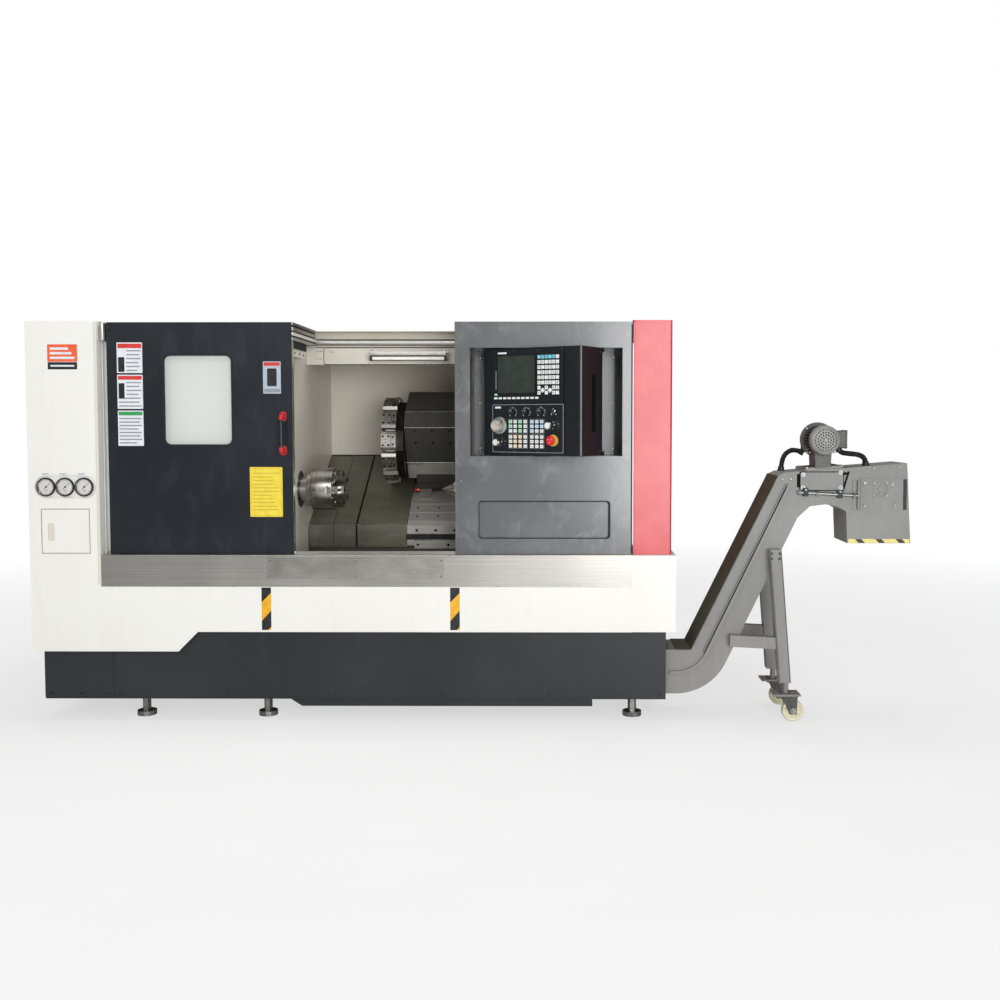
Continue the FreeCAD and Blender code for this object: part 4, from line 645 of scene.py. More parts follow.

# beam over the work space: rail lines with black strips that paint the shade in the gaps between them, end bracket,
# bolts and a small lower lip
beamLook = {"y": 560, "left": 1211, "right": 2770, "bolts": (1257, 1477, 1762)}
beamFace = frontAt(beamLook["y"])
# the rows in black rubber paint shade lines: the gap under the roof leaf, the guide's lower edge and the beam's
# bottom edge
railsAndShadeLines = [(1804.5, 1810, 5, 1), (1771, 1784, 4, 0), (1765.5, 1770, 2.5, 1), (1757, 1764, 1.5, 0),
    (1680.6, 1684, 2.5, 1), (1685, 1690, 1.2, 0)]
for low, high, deep, tint in railsAndShadeLines:
    addBox(beamFace, beamLook["left"] if low > 1700 else 1252, beamLook["right"], low, high, -0.5, deep, tint)
addBox(beamFace, 1209, 1249, 1687, 1766, 0, 7, 0)
# a black strip along the bracket's side paints the shade beside it
addBox(beamFace, 1249, 1251.5, 1687, 1764, 0, 3, 1)
addScrews(beamFace, [(x, 1683) for x in beamLook["bolts"]], 5, 2, 2, 3)
addScrews(beamFace, ((1283, 1746), (1294, 1746)), 3.2, 0, 2, 3)
addScrews(beamFace, ((1222, 1712), (1236, 1712), (1222, 1748), (1236, 1748)), 3.2, 7, 2, 3)
finishPiece("beam_trim", [creamPaint, blackRubber, turnedSteel, darkHole], "machine", 0.8)

lampLook = {"left": 1491, "right": 1880, "y": 520, "tubeHeight": 1712, "tube": 8.5}
left, right = lampLook["left"], lampLook["right"]
addPlate(rightward, rounded(502, 556, 1724, 1745, 4), left + 5, right - 5, 0)
addBox(rightward, 500, 556, 1720.5, 1724, left + 4, right - 4, 1)
addBox(rightward, 503, 507, 1698.5, 1702.5, left + 10, right - 10, 1)
addTube([(x, lampLook["y"], lampLook["tubeHeight"]) for x in (left + 12, right - 12)], lampLook["tube"], 28, 2)
for x in (left, right - 13):
    addPlate(rightward, rounded(503, 540, 1698.5, 1722, 3), x, x + 13, 1)
    addPlate(beamFace, rounded(x - 8, x + 18, 1704, 1764, 3), 0, 4, 0)
    addBox(rightward, 516, 556, 1738, 1744, x - 2, x + 15, 0)
    addScrews(beamFace, [(x + 5, z) for z in (1713, 1755)], 4.2, 4, 3, 4)
finishPiece("lamp_fitting", [profileAluminium, blackAbs, lampAcrylic, turnedSteel, darkHole], "machine",
    0.8, ["work_lamp"])

# chuck: rim grooves, face screws and centre ring turn with the spindle; each jaw has its own screws and joint line
chuckLook = {"face": 1331, "radius": 105}
r = chuckLook["radius"]
for x, wide in ((1232, 1.6), (1255, 1.0), (1316, 1.4), (1324, 0.8)):
    groove = [(r - 1, x), (r + 0.25, x), (r + 0.25, x + wide), (r - 1, x + wide), (r - 1, x)]
    addTurned(spindleFace, (0, 0), groove, 96, 1)
addTurned(spindleFace, (0, 0), [(35, 1330), (48, 1330), (48, 1333.5), (45, 1335), (38, 1335), (35, 1333), (35, 1330)],
    64, 0)
places = [around(0, 0, 78 if k % 2 else 66, radians(30 + 60 * k)) for k in range(6)]
addScrews(spindleFace, places, 6.5, chuckLook["face"], 2, 3)
for k in range(3):
    turn = radians(60 + 120 * k)
    out = Vector((0, cos(turn), sin(turn)))
    rim = sheetAt(*spindle, ahead, out.cross(ahead))
    addScrew(rim, 1285, 0, 6, r - 0.4, 2, 3)
    addPlate(rim, circle(1247, 0, 4, 20), r - 0.5, r + 0.3, 3)
finishPiece("chuck_trim", [turnedSteel, blackOxide, turnedSteel, darkHole], "spindle", 0.4)
for k in range(3):
    turn = radians(90 + 120 * k)
    out = Vector((0, -sin(turn), cos(turn)))
    jawEnd = sheetAt(*spindle, out.cross(ahead), out)
    jawTop = sheetAt(*spindle, ahead, out.cross(ahead))
    addScrew(jawEnd, 0, 82, 7.5, 1365.0, 1, 2)
    addScrew(jawEnd, 0, 51, 6.5, 1387.0, 1, 2)
    addBox(jawEnd, -18.4, 18.4, 44, 98, 1342.6, 1344.2, 2)
    for x in (1347, 1355):
        addBox(jawTop, x, x + 1.4, -17, 17, 98.6, 99.3, 2)
    addPlate(jawTop, circle(1339, 0, 4, 20), 98.6, 99.4, 2)
    for side in (-1, 1):
        flank = sheetAt(*spindle, ahead * side, out)
        for w in (72, 90):
            addPlate(flank, circle(1349 * side, w, 3.6, 18), 17.6, 18.4, 2)
    finishPiece("jaw_%d_screws" % (k + 1), [turnedSteel, blackOxide, darkHole], "jaw_%d" % (k + 1), 0.3)
print("beam and chuck dressed")

# turret: each tool block gets a clamp plate with its screws, a bright edge and side holes; the disc gets face rings
turretLook = {"stations": 12, "radius": 224, "left": 1530, "right": 1605, "across": 473}
middle = Vector(spindle) + slopeUp * turretLook["across"]
r, left, right = turretLook["radius"], -turretLook["left"], -turretLook["right"]
for k in range(turretLook["stations"]):
    turn = radians(360 / turretLook["stations"] * k)
    out = slopeOut * cos(turn) - slopeUp * sin(turn)
    top = sheetAt(*middle, ahead, out.cross(ahead))
    end = sheetAt(*middle, (-out).cross(ahead), out)  # faces left: h is minus x
    addPlate(top, rounded(1533, 1577, -32, 32, 3), r - 0.5, r + 1.8, 0)
    addPlate(top, rounded(1580, 1603, -32, 32, 3), r - 0.5, r + 0.8, 3)
    sunk = [(0, r), (5.8, r), (5.8, r + 2.3), (4.6, r + 2.6), (4.6, r + 1.95), (0, r + 1.95)]
    for u, w in ((1541, -23), (1541, 23), (1569, -23), (1569, 23)):
        addTurned(top, (u, w), sunk, 20, 1)
        addPlate(top, circle(u, w, 4.4, 18), r + 1.9, r + 2.05, 2)
    for u in (1548, 1555, 1562):
        for w in (-8, 8):
            addPlate(top, circle(u, w, 2.2, 14), r + 1.7, r + 2.0, 2)
    addScrews(top, [(1592, w) for w in (-18, 18)], 5.0, r + 0.8, 1, 2)
    addBox(top, 1577.3, 1579.6, -33, 33, r - 0.4, r + 0.3, 2)
    for w, deep in ((203, 4.5), (212, 3.0), (146, 4.5)):
        for u in (-24, 0, 24):
            if w > 150 or u == 0:
                addPlate(end, circle(u, w, deep, 18), left - 0.2, left + 0.5, 2)
    for side in (-1, 1):  # wedge clamps between neighbouring blocks
        shape = [(side * u, w) for u, w in ((48, 196), (52, 196), (54.5, 206), (50, 206))][::side]
        addPlate(end, shape, -1602, -1550, 3)
finishPiece("tool_block_clamps", [milledToolSteel, blackOxide, darkHole, zincPlate], "turret", 0.4)
discFace = sheetAt(*middle, (-slopeOut).cross(ahead), slopeOut)
addTurned(discFace, (0, 0), [(62, right), (66, right), (66, right + 3), (62, right + 3), (62, right)], 72, 0)
addScrews(discFace, circle(0, 0, 42, 6), 6, right + 14, 1, 2)
addScrews(discFace, circle(0, 0, 95, 12, 15), 6, right, 1, 2)
finishPiece("turret_face_screws", [turnedSteel, blackOxide, darkHole], "turret", 0.4)

# cross-slide: bright strips along its edges that paint their highlights, the upright front panel and a bright strip
# that paints the highlight along its upper edge
slideLook = {"left": 1644, "right": 1980, "front": -342.6}
left, right = slideLook["left"], slideLook["right"]
addPlate(slopeEnd, [(344.2, 152), (346.8, 154.5), (346.8, 150), (344.2, 149)], left, right, 0)
addPlate(slopeEnd, [(423.0, 199.5), (426.6, 201.6), (428.6, 200.6), (426.6, 199.0)], left, right, 0)
addPlate(slopeEnd, [(344.6, -66), (343.6, -62), (344.6, -60), (346.0, -62)], left, right + 38, 0)
frontOfHousing = sheetAt(*spindle, ahead, slopeOut)  # h is towards the front, down the slope
for x in (1700, 1790, 1880, 1950):
    addScrew(frontOfHousing, x, 60, 6, -344.8, 1, 2)
    addScrew(frontOfHousing, x, 132, 5, -344.8, 1, 2)
addBox(frontOfHousing, left + 4, right - 4, -157, -69, -346, slideLook["front"], 3)
addBox(frontOfHousing, left + 4, right - 4, -72, -69, slideLook["front"] - 0.1, slideLook["front"] + 1.2, 0)
finishPiece("slide_housing_edges", [brightEdgeAndHighlight, blackOxide, darkHole, slideCoverSteel], "cross_slide",
    0.6)

# carriage: stepped slide covers with bright lips that also paint each step's edge highlight, a small red plate, the
# hanging front cover and the bar under it
carriageLook = {"left": 1672, "right": 2058}
left, right = carriageLook["left"], carriageLook["right"]
for u, v in ((60, -237.6), (130, -232.6), (200, -227.6), (60.5, -242)):
    addBox(slopeEnd, u - 1.6, u + 1.2, v - 3, v + 1.2, left, right, 0)
for x in (1712, 1822, 1932, 2042):
    for u, v in ((96, -233.5), (166, -228.5)):
        addScrew(slope, x, u, 5, v, 1, 2)
apronFace = frontAt(549.6)
addScrews(apronFace, [(x, 838) for x in (1718, 1815, 1912, 2009)], 6.5, 0.4, 1, 2)
addBox(apronFace, left, right, 819.5, 823, 0, 1.5, 0)
finishPiece("carriage_lips", [brightEdgeAndHighlight, blackOxide, darkHole], "carriage", 0.6)
addPlate(slope, rounded(1676, 1740, 314, 340, 2), -224, -221.2, 0)
for x in (1688, 1712):
    addBox(slope, x, x + 14, 322, 332, -221.3, -221.0, 1)
finishPiece("carriage_plate", [redVinyl, whiteVinyl], "carriage", 0.2)

# hanging front of the carriage: a black band and the light steel bar under it, with three rail bolts
barFace = frontAt(549)
addBox(barFace, 1664, 2058, 790, 818, -0.6, 0.8, 0)
addBox(barFace, 1706, 2060, 742, 789, -0.6, 1.2, 1)
addBox(barFace, 1706, 2060, 783, 789, 1.0, 1.6, 2)
addScrews(barFace, [(x, 764) for x in (1724, 1880, 2036)], 6, 1.2, 3, 4)
finishPiece("carriage_under_bar", [blackRubber, slideCoverSteel, brightEdgeAndHighlight, blackOxide, darkHole], "carriage",
    0.8)

# bed covers: a bright front edge strip that also paints the edge's highlight, a shade line at each overlap, and their
# fixing screws
coverLook = [("machine", "bed_cover_fixed", 1163, 1500, 0), ("cover_middle", "bed_cover_middle", 1290, 1575, 1),
    ("carriage", "bed_cover_front", 1405, 1670, 2)]
for body, node, left, right, level in coverLook:
    v = -238.5 - 2.8 * (2 - level)
    lip = 555 + 2.8 * (2 - level)
    edgeU = (lip - spindle[1] + v / 2) / slopeUp.y
    shape = [(edgeU - 1.4, v - 1.8), (edgeU + 2.6, v - 0.6), (edgeU + 2.6, v + 0.5), (edgeU - 0.6, v + 0.5)]
    addPlate(slopeEnd, shape, left + 1, right - 1, 0)
    seam = 9 if level == 2 else 2
    addBox(slope, left, left + seam, edgeU + 3, 698, v - 0.3, v + 1.0, 1 if level < 2 else 3)
    addBox(slope, right - 4, right, edgeU + 3, 698, v - 0.3, v + 0.8, 1)
    lipFace = frontAt(lip)
    addBox(lipFace, left, left + seam, 753, 866, -0.3, 0.9, 1 if level < 2 else 3)
    addScrews(lipFace, [(x, 764) for x in (left + 30, right - 30)], 5, 0.1, 2, 3)
    finishPiece(node + "_edges", [brightEdgeAndHighlight, blackOxide, turnedSteel, darkHole], body, 0.4)
# fixed strips below the covers: a cream sill behind the fixed cover and a black wiper housing beside it
sillFace = frontAt(574)
addBox(sillFace, 1163, 1398, 700, 772, -14, 0, 0)
addBox(sillFace, 1400, 1952, 700, 760, -14, 0, 1)
finishPiece("cover_sills", [creamPaint, blackRubber], "machine", 1.2)
print("turret, slides and bed covers dressed")

# operator's panel: screen surround, keys in their fields, dials, wheel, buttons and the box's bright corner
turnAway = radians(31)
panelRight = Vector((cos(turnAway), -sin(turnAway), 0))
panelBack = Vector((sin(turnAway), cos(turnAway), 0))
pivot = Vector((2368, 50, 1483.5))
panelLook = {"face": 101.5, "bezel": 107.5, "field": 109.0, "side": 262}
bezel = sheetAt(*(pivot - panelBack * panelLook["bezel"]), panelRight)
field = sheetAt(*(pivot - panelBack * panelLook["field"]), panelRight)
addBorder(bezel, (-184, 30, 34, 216), (0, 4), (5.6, 2), -2.5, 1.2, 0)
addBorder(bezel, (-206.5, 174.5, -231.5, -11.5), (0, 5), (2.5, 3.5), -1, 0.7, 1)
addBorder(bezel, (-206.5, 174.5, -6.5, 237.5), (0, 5), (1.9, 3.5), -1, 0.5, 0)
addBox(bezel, 32.5, 33.6, 4, 228, -0.2, 0.5, 0)
addPlate(bezel, rounded(-176, -128, 219, 227, 1.5), 0, 0.6, 2)
addPlate(bezel, rounded(-192, -160, -30, -21, 1.5), 0, 0.6, 2)
addBox(bezel, -187.2, -185.9, 56, 142, 0, 0.5, 2)
places = [(u, w) for w in (-9, -225, 231.5) for u in (-88, 38)] + [(u, w) for w in (231.5, -225) for u in (-200, 168)]
addScrews(bezel, places, 2.6, 0, 3, 4)
for box in ((-117, -14, -144, -79), (-1, 75, -144, -79), (-117, -14, -213, -148), (-1, 75, -213, -148)):
    addBorder(bezel, box, (0, 3), (1.2, 2), 0, 2, 1)
finishPiece("panel_surrounds", [keyTrim, greyInk, whiteVinyl, turnedSteel, darkHole], "control_box",
    0.3)

keyLook = {"lift": 2.6, "corner": 1.6, "left": 48.7, "top": 200.5, "across": 19.3, "down": 23}


def addKey(u, w, wide, tall, tint):
    box = (u - wide / 2, u + wide / 2, w - tall / 2, w + tall / 2)
    addPlate(field, inset(box, -0.8, 2, 3), -0.2, 0.25, 6)
    addPlate(field, inset(box, 0, keyLook["corner"], 3), 0, keyLook["lift"], tint)


def keyPlace(column, row):  # in the key block beside the screen
    return keyLook["left"] + keyLook["across"] * column, keyLook["top"] - keyLook["down"] * row


keyed = [(column, row) for row in range(8) for column in range(6) if row < 6 or column in (0, 2, 4, 5)]
for column, row in keyed:
    addKey(*keyPlace(column, row), 15.6, 16.2, 1 if row == 0 and column < 5 else 0)
for column in (1, 3):
    addPlate(field, circle(*keyPlace(column, 6.5), 11.5, 4), 0, keyLook["lift"], 0)
for column in range(10):
    addKey(-186 + 24.7 * column, 17, 17.5, 9, 0)
addPlate(bezel, rounded(-194, -178, 29, 38, 4, 4), 0, 1.6, 2)
lowerColumns = (-104.8, -79.5, -52.7, -25.3, 10.7, 36.5, 62.8)
lowerRows = {-90.5: (2, 0, 2, 0, 3, 3, 3), -111.5: (2, 0, 2, 0, 3, 3, 3), -132.5: (0, 0, 2, 0, 3, 0, 0),
             -159.5: (0, 4, 4, 0, 0, 0, 0), -180.5: (4, 4, 4, 0, 0, 0, 0), -202: (0, 4, 4, 0, 0, 0, 0)}
for w, tints in lowerRows.items():
    for u, tint in zip(lowerColumns, tints):
        addKey(u, w, 17.2, 15.2, tint)
        addBox(field, u - 4.5, u + 4.5, w - 1.2, w + 1.2, keyLook["lift"] - 0.1, keyLook["lift"] + 0.12, 5)
for column, row in keyed:
    if row > 0 or column < 5:
        u, w = keyPlace(column, row)
        addBox(field, u - 2.8, u + 2.8, w - 3.4, w + 3.4, keyLook["lift"] - 0.1, keyLook["lift"] + 0.1,
            5 if (row + column) % 3 else 0)
finishPiece("panel_keys", [keyWhite, keyCyan, keyGreen, keyBlue, keyCream, greyInk, darkHole], "control_box",
    0.5)

# printed scales round the dials, and the small switches that don't move in the model
scales = [(-95, -47, 17, 23, 13), (-21, -47, 17, 23, 15), (57, -47, 17, 23, 13), (131.5, -108, 16, 20, 9),
    (-151, -186, 15, 18, 5)]
for u, w, inner, outer, ticks in scales:
    for k in range(ticks):
        turn = radians(225 - 270 * k / (ticks - 1))
        reach = outer - inner + (2 if k % 3 == 0 else 0)
        middle = inner + reach / 2
        addPlate(bezel, turnedBar(*around(u, w, middle, turn), reach, 1.7 if k % 3 == 0 else 1.0, degrees(turn)), 0,
            0.25, 0)
    if u > 100 or u < -140:
        addTurned(bezel, (u, w), [(0, 0), (13, 0), (13, 3), (11, 4), (11, 14), (9.5, 15), (0, 15)], 36, 1)
        addPlate(bezel, turnedBar(u + 5, w + 4, 9, 2, 40), 14.9, 15.4, 0)
for side in (-1, 1):
    arrow = [(123.5 + side * u, w) for u, w in ((9, -60), (14, -60), (11.5, -52))][::side]
    addPlate(bezel, arrow, 0, 0.25, 0)
addTurned(bezel, (123.5, -42), [(0, 0), (10, 0), (10, 3), (8, 4.5), (0, 4.5)], 32, 2)
addBox(bezel, 122.4, 124.6, -47, -37, 4.4, 4.9, 3)
addTurned(bezel, (-187, -186), [(14.4, 0), (17.5, 0), (17.5, 3), (15.5, 4.5), (14.4, 4.5), (14.4, 0)], 40, 2)
addTurned(bezel, (-187, -186), [(0, 8), (14.2, 8), (14.2, 10.5), (12.5, 12.2), (6, 13), (0, 13.2)], 40, 4)
addTurned(bezel, (94, -108), [(14.4, 1), (18.4, 1), (18.4, 6.4), (16.4, 7.4), (14.4, 7.4), (14.4, 1)], 40, 2)
addTurned(bezel, (121, -175), [(13.6, 0), (26.6, 0), (26.6, 6), (24, 8.6), (13.6, 8.6), (13.6, 0)], 48, 5)
for k in range(3):
    turn = radians(90 + 120 * k)
    addPlate(bezel, turnedBar(*around(121, -175, 20, turn), 5, 1.6, degrees(turn) + 60), 8.5, 8.8, 1)
finishPiece("panel_scales", [whiteVinyl, blackAbs, chromeRing, darkHole, whiteAbs, stopYellow], "control_box",
    0.3)

for k, (u, w) in enumerate(((-95, -47), (-21, -47), (57, -47))):
    flutes = [around(u, w, 11.6 if n % 2 else 12.8, 2 * pi * n / 40) for n in range(40)]
    addPlate(bezel, flutes, 0.4, 12.5, 0)
    addTurned(bezel, (u, w), [(0, 12.3), (10.6, 12.3), (10.4, 15.4), (9.2, 16.2), (0, 16.2)], 36, 0)
    addBox(bezel, u - 1.0, u + 1.0, w + 2.5, w + 9.4, 16.0, 16.5, 1)
    finishPiece("fluted_knob_%d" % (k + 1), [blackAbs, whiteVinyl], "knob_%d" % (k + 1), 0.3,
        ["override_knob_%d" % (k + 1)])

wheel = {"place": (-165, -108), "marks": 50}
place = wheel["place"]
addTurned(bezel, place, [(0, 0.4), (38.5, 0.4), (40, 2), (40, 9), (37, 13.5), (32.5, 14.2), (31.5, 16), (31, 33),
    (29, 36), (24, 36.6), (22.5, 35.6), (0, 35.2)], 96, 0)
addTurned(bezel, place, [(0, 35.1), (21.5, 35.4), (21.5, 35.9), (0, 36.0)], 64, 1)
for k in range(wheel["marks"]):
    turn = 2 * pi * k / wheel["marks"]
    reach = 3.4 if k % 5 == 0 else 2.0
    addPlate(bezel, turnedBar(*around(*place, 34.6, turn), reach, 0.5, degrees(turn)), 13.4, 14.4, 2)
addTurned(bezel, (place[0] + 18, place[1] + 12), [(0, 35), (4, 35), (4, 38), (7.6, 41), (8, 46), (7, 50.5), (4, 52),
    (0, 52)], 32, 3)
warmPlastic = mouldedPlastic("moulded warm-grey wheel face", moulded, "#BDB5A8", "#C9C2B5")
finishPiece("pulse_handwheel", [castAluminium, warmPlastic, blackVinyl, warmPlastic], "handwheel",
    0.3, ["handwheel"])
addTurned(bezel, (121, -175), [(0, 4.3), (12.6, 4.3), (12.6, 17), (20.5, 19), (22.5, 21.5), (22.8, 25), (21, 29),
    (15, 31.6), (7, 32.6), (0, 32.8)], 72, 0)
for k in range(3):
    turn = radians(30 + 120 * k)
    addPlate(bezel, turnedBar(*around(121, -175, 9, turn), 6, 1.4, degrees(turn) + 60), 31.6, 32.9, 1)
finishPiece("stop_mushroom", [stopRed, whiteVinyl], "emergency_stop", 0.3, ["emergency_stop"])
addTurned(bezel, (94, -108), [(0, 3.4), (13.8, 3.4), (13.8, 10.4), (12.2, 12.2), (6, 13), (0, 13.2)], 48, 0)
finishPiece("start_button_cap", [whiteAbs], "push_button", 0.3, ["push_button"])

# box: a grey strip that paints the highlight along its corner, grip liner, seams of the side cover and pivot blocks
outward = pivot + panelRight * (panelLook["side"] - 4) - panelBack * (panelLook["face"] - 4)
cornerSheet = sheetAt(*outward, (panelRight + panelBack) * sqrt(0.5))
addBox(cornerSheet, -1.7, 1.7, -243, 243, 1.6, 4.2, 0)
side = sheetAt(*(pivot + panelRight * panelLook["side"]), panelBack)
liner = (-12.5, 38.5, -143, 128)
addBorder(side, liner, (0, 25.4), (3.3, 22.1), -1.2, 1.2, 1, 10)
addPlate(side, inset(liner, 3.3, 22.1, 10), -29.6, -28.8, 2)
for w in (-236, 236):
    addTurned(sheetAt(*pivot, panelRight, panelBack), (250, 96), [(0, w - 9), (11, w - 9), (11, w + 9), (0, w + 9)],
        32, 1)
    addPlate(side, rounded(82, 104, w - 10, w + 10, 3), -3, 5, 1)
addScrews(side, [(70, w) for w in (-225, 0, 225)], 3.2, 0, 3, 2)
finishPiece("box_corner_and_grip", [greyInk, blackAbs, darkHole, turnedSteel], "control_box", 0.6)
print("operator's panel dressed")

# fixed right panel, flush with the door: recess pillar, door post, pocket lip and top edge
right, low, high = 2781, 782, 1850
addBox(doorFace, 1963.5, 1976, low, high, -1, 3.2, 0)
addBox(sheetAt(1963, 0, 0, (0, -1, 0)), -112, -78, low + 4, 1762, -0.4, 0.8, 1)
addScrews(doorFace, [(1990, z) for z in (860, 1120, 1380, 1640)], 4.6, 0, 2, 3)
addBorder(doorFace, (2066, 2686, 846, 1032), (0, 21), (4.5, 16.5), -0.6, 1.3, 0, 8)
addBorder(doorFace, (2029, 2740, 1230, 1737), (0, 4), (4.5, 2), -0.6, 1.3, 0, 3)
addBox(doorFace, 1977, right, high - 8, high + 1.5, -0.5, 1.4, 0)
# a black strip along the panel's right edge paints the shadow in the gap beside the red cover
addBox(doorFace, right - 5, right + 1, low, high - 9, -1, 1.4, 1)
finishPiece("front_panel_edges", [darkPanelEnamel, blackRubber, turnedSteel, darkHole], "machine", 1.0)
pillarFace = sheetAt(2090, 205, 0, (0.94, -0.342, 0))
addPlate(pillarFace, rounded(-14, 14, 1240, 1726, 9), -24, 0, 0)
addScrews(pillarFace, ((0, 1262), (0, 1704)), 5, 0, 1, 2)
finishPiece("recess_pillar", [greyConveyorPaint, turnedSteel, darkHole], "machine", 2.0)

linerFace = frontAt(374)
addBox(linerFace, 2040, 2730, 1240, 1728, -2, 0, 0)
addScrews(linerFace, [(x, z) for x in (2058, 2712) for z in (1262, 1484, 1706)], 5, 0, 1, 2)
recessPaint = coatedSteel("pale grey sprayed recess liner", "#A9A8A6", "#BBBAB7", "#D2D1CD", "#E4E2DD", wipeShow=0.4,
    cloud=90, wipe=18, rough=(0.4, 0.55))
finishPiece("recess_liner", [recessPaint, turnedSteel, darkHole], "machine", 0.6)
# a black frame just inside the pocket's rim, wider along the top and right, paints the shadow that falls into the
# pocket
addFrame(doorFace, rounded(2069, 2683, 849, 1029, 18), rounded(2073, 2673, 853, 1022, 16), -11, -1.0, 0)
finishPiece("pocket_shadow_frame", [blackRubber], "machine", 0.8)

# red end cover and low end box: folded edges, top cap, seam and screws
redFace = frontAt(30)
redEnd = rightAt(2964)
addBox(redFace, 2786, 2792, 786, 1848, -0.5, 1.0, 0)
for low, high in ((1843, 1853), (781, 790)):
    addBox(redFace, 2796, 2950, low, high, -0.5, 1.4, 0)
addScrews(redEnd, [(y, z) for y in (430, 940, 1400) for z in (830, 1320, 1810)], 5, 0, 1, 2)
addBox(redEnd, 737, 739.5, 790, 1850, -0.5, 0.6, 3)
finishPiece("red_cover_edges", [redEnamel, turnedSteel, darkHole, blackRubber], "machine", 1.2)
print("right end dressed")

# conveyor drive: finned motor, perforated fan cover, gear case, flange and terminal box in one piece
drive = {"x": 3669, "z": 1308, "fins": 28, "fanHoles": ((12, 6, 3.2), (24, 12, 3.4), (36, 18, 3.6), (48, 24, 3.4))}
drivePaint = coatedSteel("grey enamelled cast aluminium drive", "#4B4C4A", "#5C5D5A", "#7A7A75", "#A9A89F", cloud=60,
    wipe=20, peel=2.5, peelShow=0.35, rough=(0.35, 0.52), dustTop=1.4, dustShow=0.2)
paleSteel = coatedSteel("pale grey pressed steel fan cover", "#828380", "#8E8F8B", "#A5A5A0", "#C4C3BC", cloud=40,
    wipe=15, peel=2.0, peelShow=0.2, rough=(0.3, 0.45), dustShow=0.0)
driveEnd = sheetAt(drive["x"], 0, drive["z"])  # faces the front: h is minus y
addTurned(driveEnd, (0, 0), [(0, -66), (50, -66), (50, -179), (0, -179)], 48, 0)
for k in range(drive["fins"]):
    turn = 360 * k / drive["fins"]
    reach = radians(turn)
    if not (cos(reach) > 0.55 and abs(sin(reach)) < 0.72):
        addPlate(driveEnd, turnedBar(*around(0, 0, 57, reach), 18, 2.6, turn), -174, -70, 0)
addTurned(driveEnd, (0, 0), [(0, -178), (82, -178), (82, -191), (60, -196), (0, -196)], 64, 0)
addTurned(driveEnd, (0, 0), [(0, -19.5), (44, -19.5), (58, -20.5), (66, -26), (68, -34), (68, -66), (66.5, -70),
    (65.5, -70), (65.5, -35), (64, -28), (57, -23), (43, -22), (0, -22)], 72, 1)
for ring, count, hole in drive["fanHoles"]:  # each ring: its radius, its number of holes and theirs
    low, high = (-19.7, -19.2) if ring < 44 else (-20.6, -19.6)
    for u, w in circle(0, 0, ring, count, 180 / count if ring % 24 else 0):
        addPlate(driveEnd, circle(u, w, hole, 14), low, high, 2)
for k in range(4):
    turn = radians(45 + 90 * k)
    addScrew(driveEnd, *around(0, 0, 72, turn), 5, -178, 3, 2)
    x, z = around(drive["x"], drive["z"], 67.5, turn)
    addScrew(sheetAt(x, 52, z, (sin(turn), 0, -cos(turn)), (0, -1, 0)), 0, 0, 3.5, 0, 3, 2)
case = [(-57, -62), (-57, 14), (-46, 34), (-26, 45), (26, 45), (46, 34), (57, 14), (57, -62)]
addPlate(driveEnd, case, -280, -190, 0)
addPlate(driveEnd, [(u * 0.9, w * 0.9 - 4) for u, w in case], -190.5, -186, 0)
addScrews(driveEnd, ((44, -48), (44, 8), (20, 32), (-20, 32), (-44, 8), (-44, -48)), 4.4, -186, 3, 2)
footSlope = radians(4.5)
foot = sheetAt(3590, 0, 1154 + 130 * tan(footSlope), (cos(footSlope), 0, sin(footSlope)), (0, 1, 0))
addPlate(foot, rounded(0, 178, 75, 291, 5), -0.4, 12, 1)
addPlate(foot, rounded(14, 164, 90, 276, 4), 11.8, 14.5, 0)
addScrews(foot, ((10, 86), (168, 86), (10, 280), (168, 280)), 6, 12, 3, 2)
neckFace = frontAt(66)
addPlate(neckFace, [(3634, 1176), (3704, 1182), (3708, 1262), (3630, 1262)], -124, 0, 0)
addPlate(neckFace, [(3642, 1190), (3696, 1194), (3698, 1236), (3640, 1236)], -0.4, 2.0, 0)
for u in (-39, 39):  # foot webs
    web = sheetAt(drive["x"] + u, 0, drive["z"], (0, 1, 0))
    addPlate(web, [(66, -62), (190, -62), (184, -38), (72, -38)], -4, 4, 0)
    addScrews(upAt(drive["x"] + u * 1.5), [(0, y) for y in (84, 126, 168)], 5, 1247, 3, 2)
terminals = {"box": (60, 150, 1270, 1352), "left": 3719, "right": 3777}
near, far, low, high = terminals["box"]
boxSide = rightAt(terminals["right"])
addPlate(boxSide, inset(terminals["box"], 0, 7), terminals["left"] - terminals["right"], -7, 0)
addPlate(boxSide, inset(terminals["box"], -2, 8), -6.6, 0, 0)
addPlate(boxSide, inset(terminals["box"], -1, 7), -7.2, -6.4, 2)
addScrews(boxSide, [(y, z) for y in (near + 8, far - 8) for z in (low + 8, high - 8)], 4, 0, 3, 2)
finishPiece("conveyor_drive", [drivePaint, paleSteel, darkHole, turnedSteel], "machine", 0.7,
    ["conveyor_motor"])

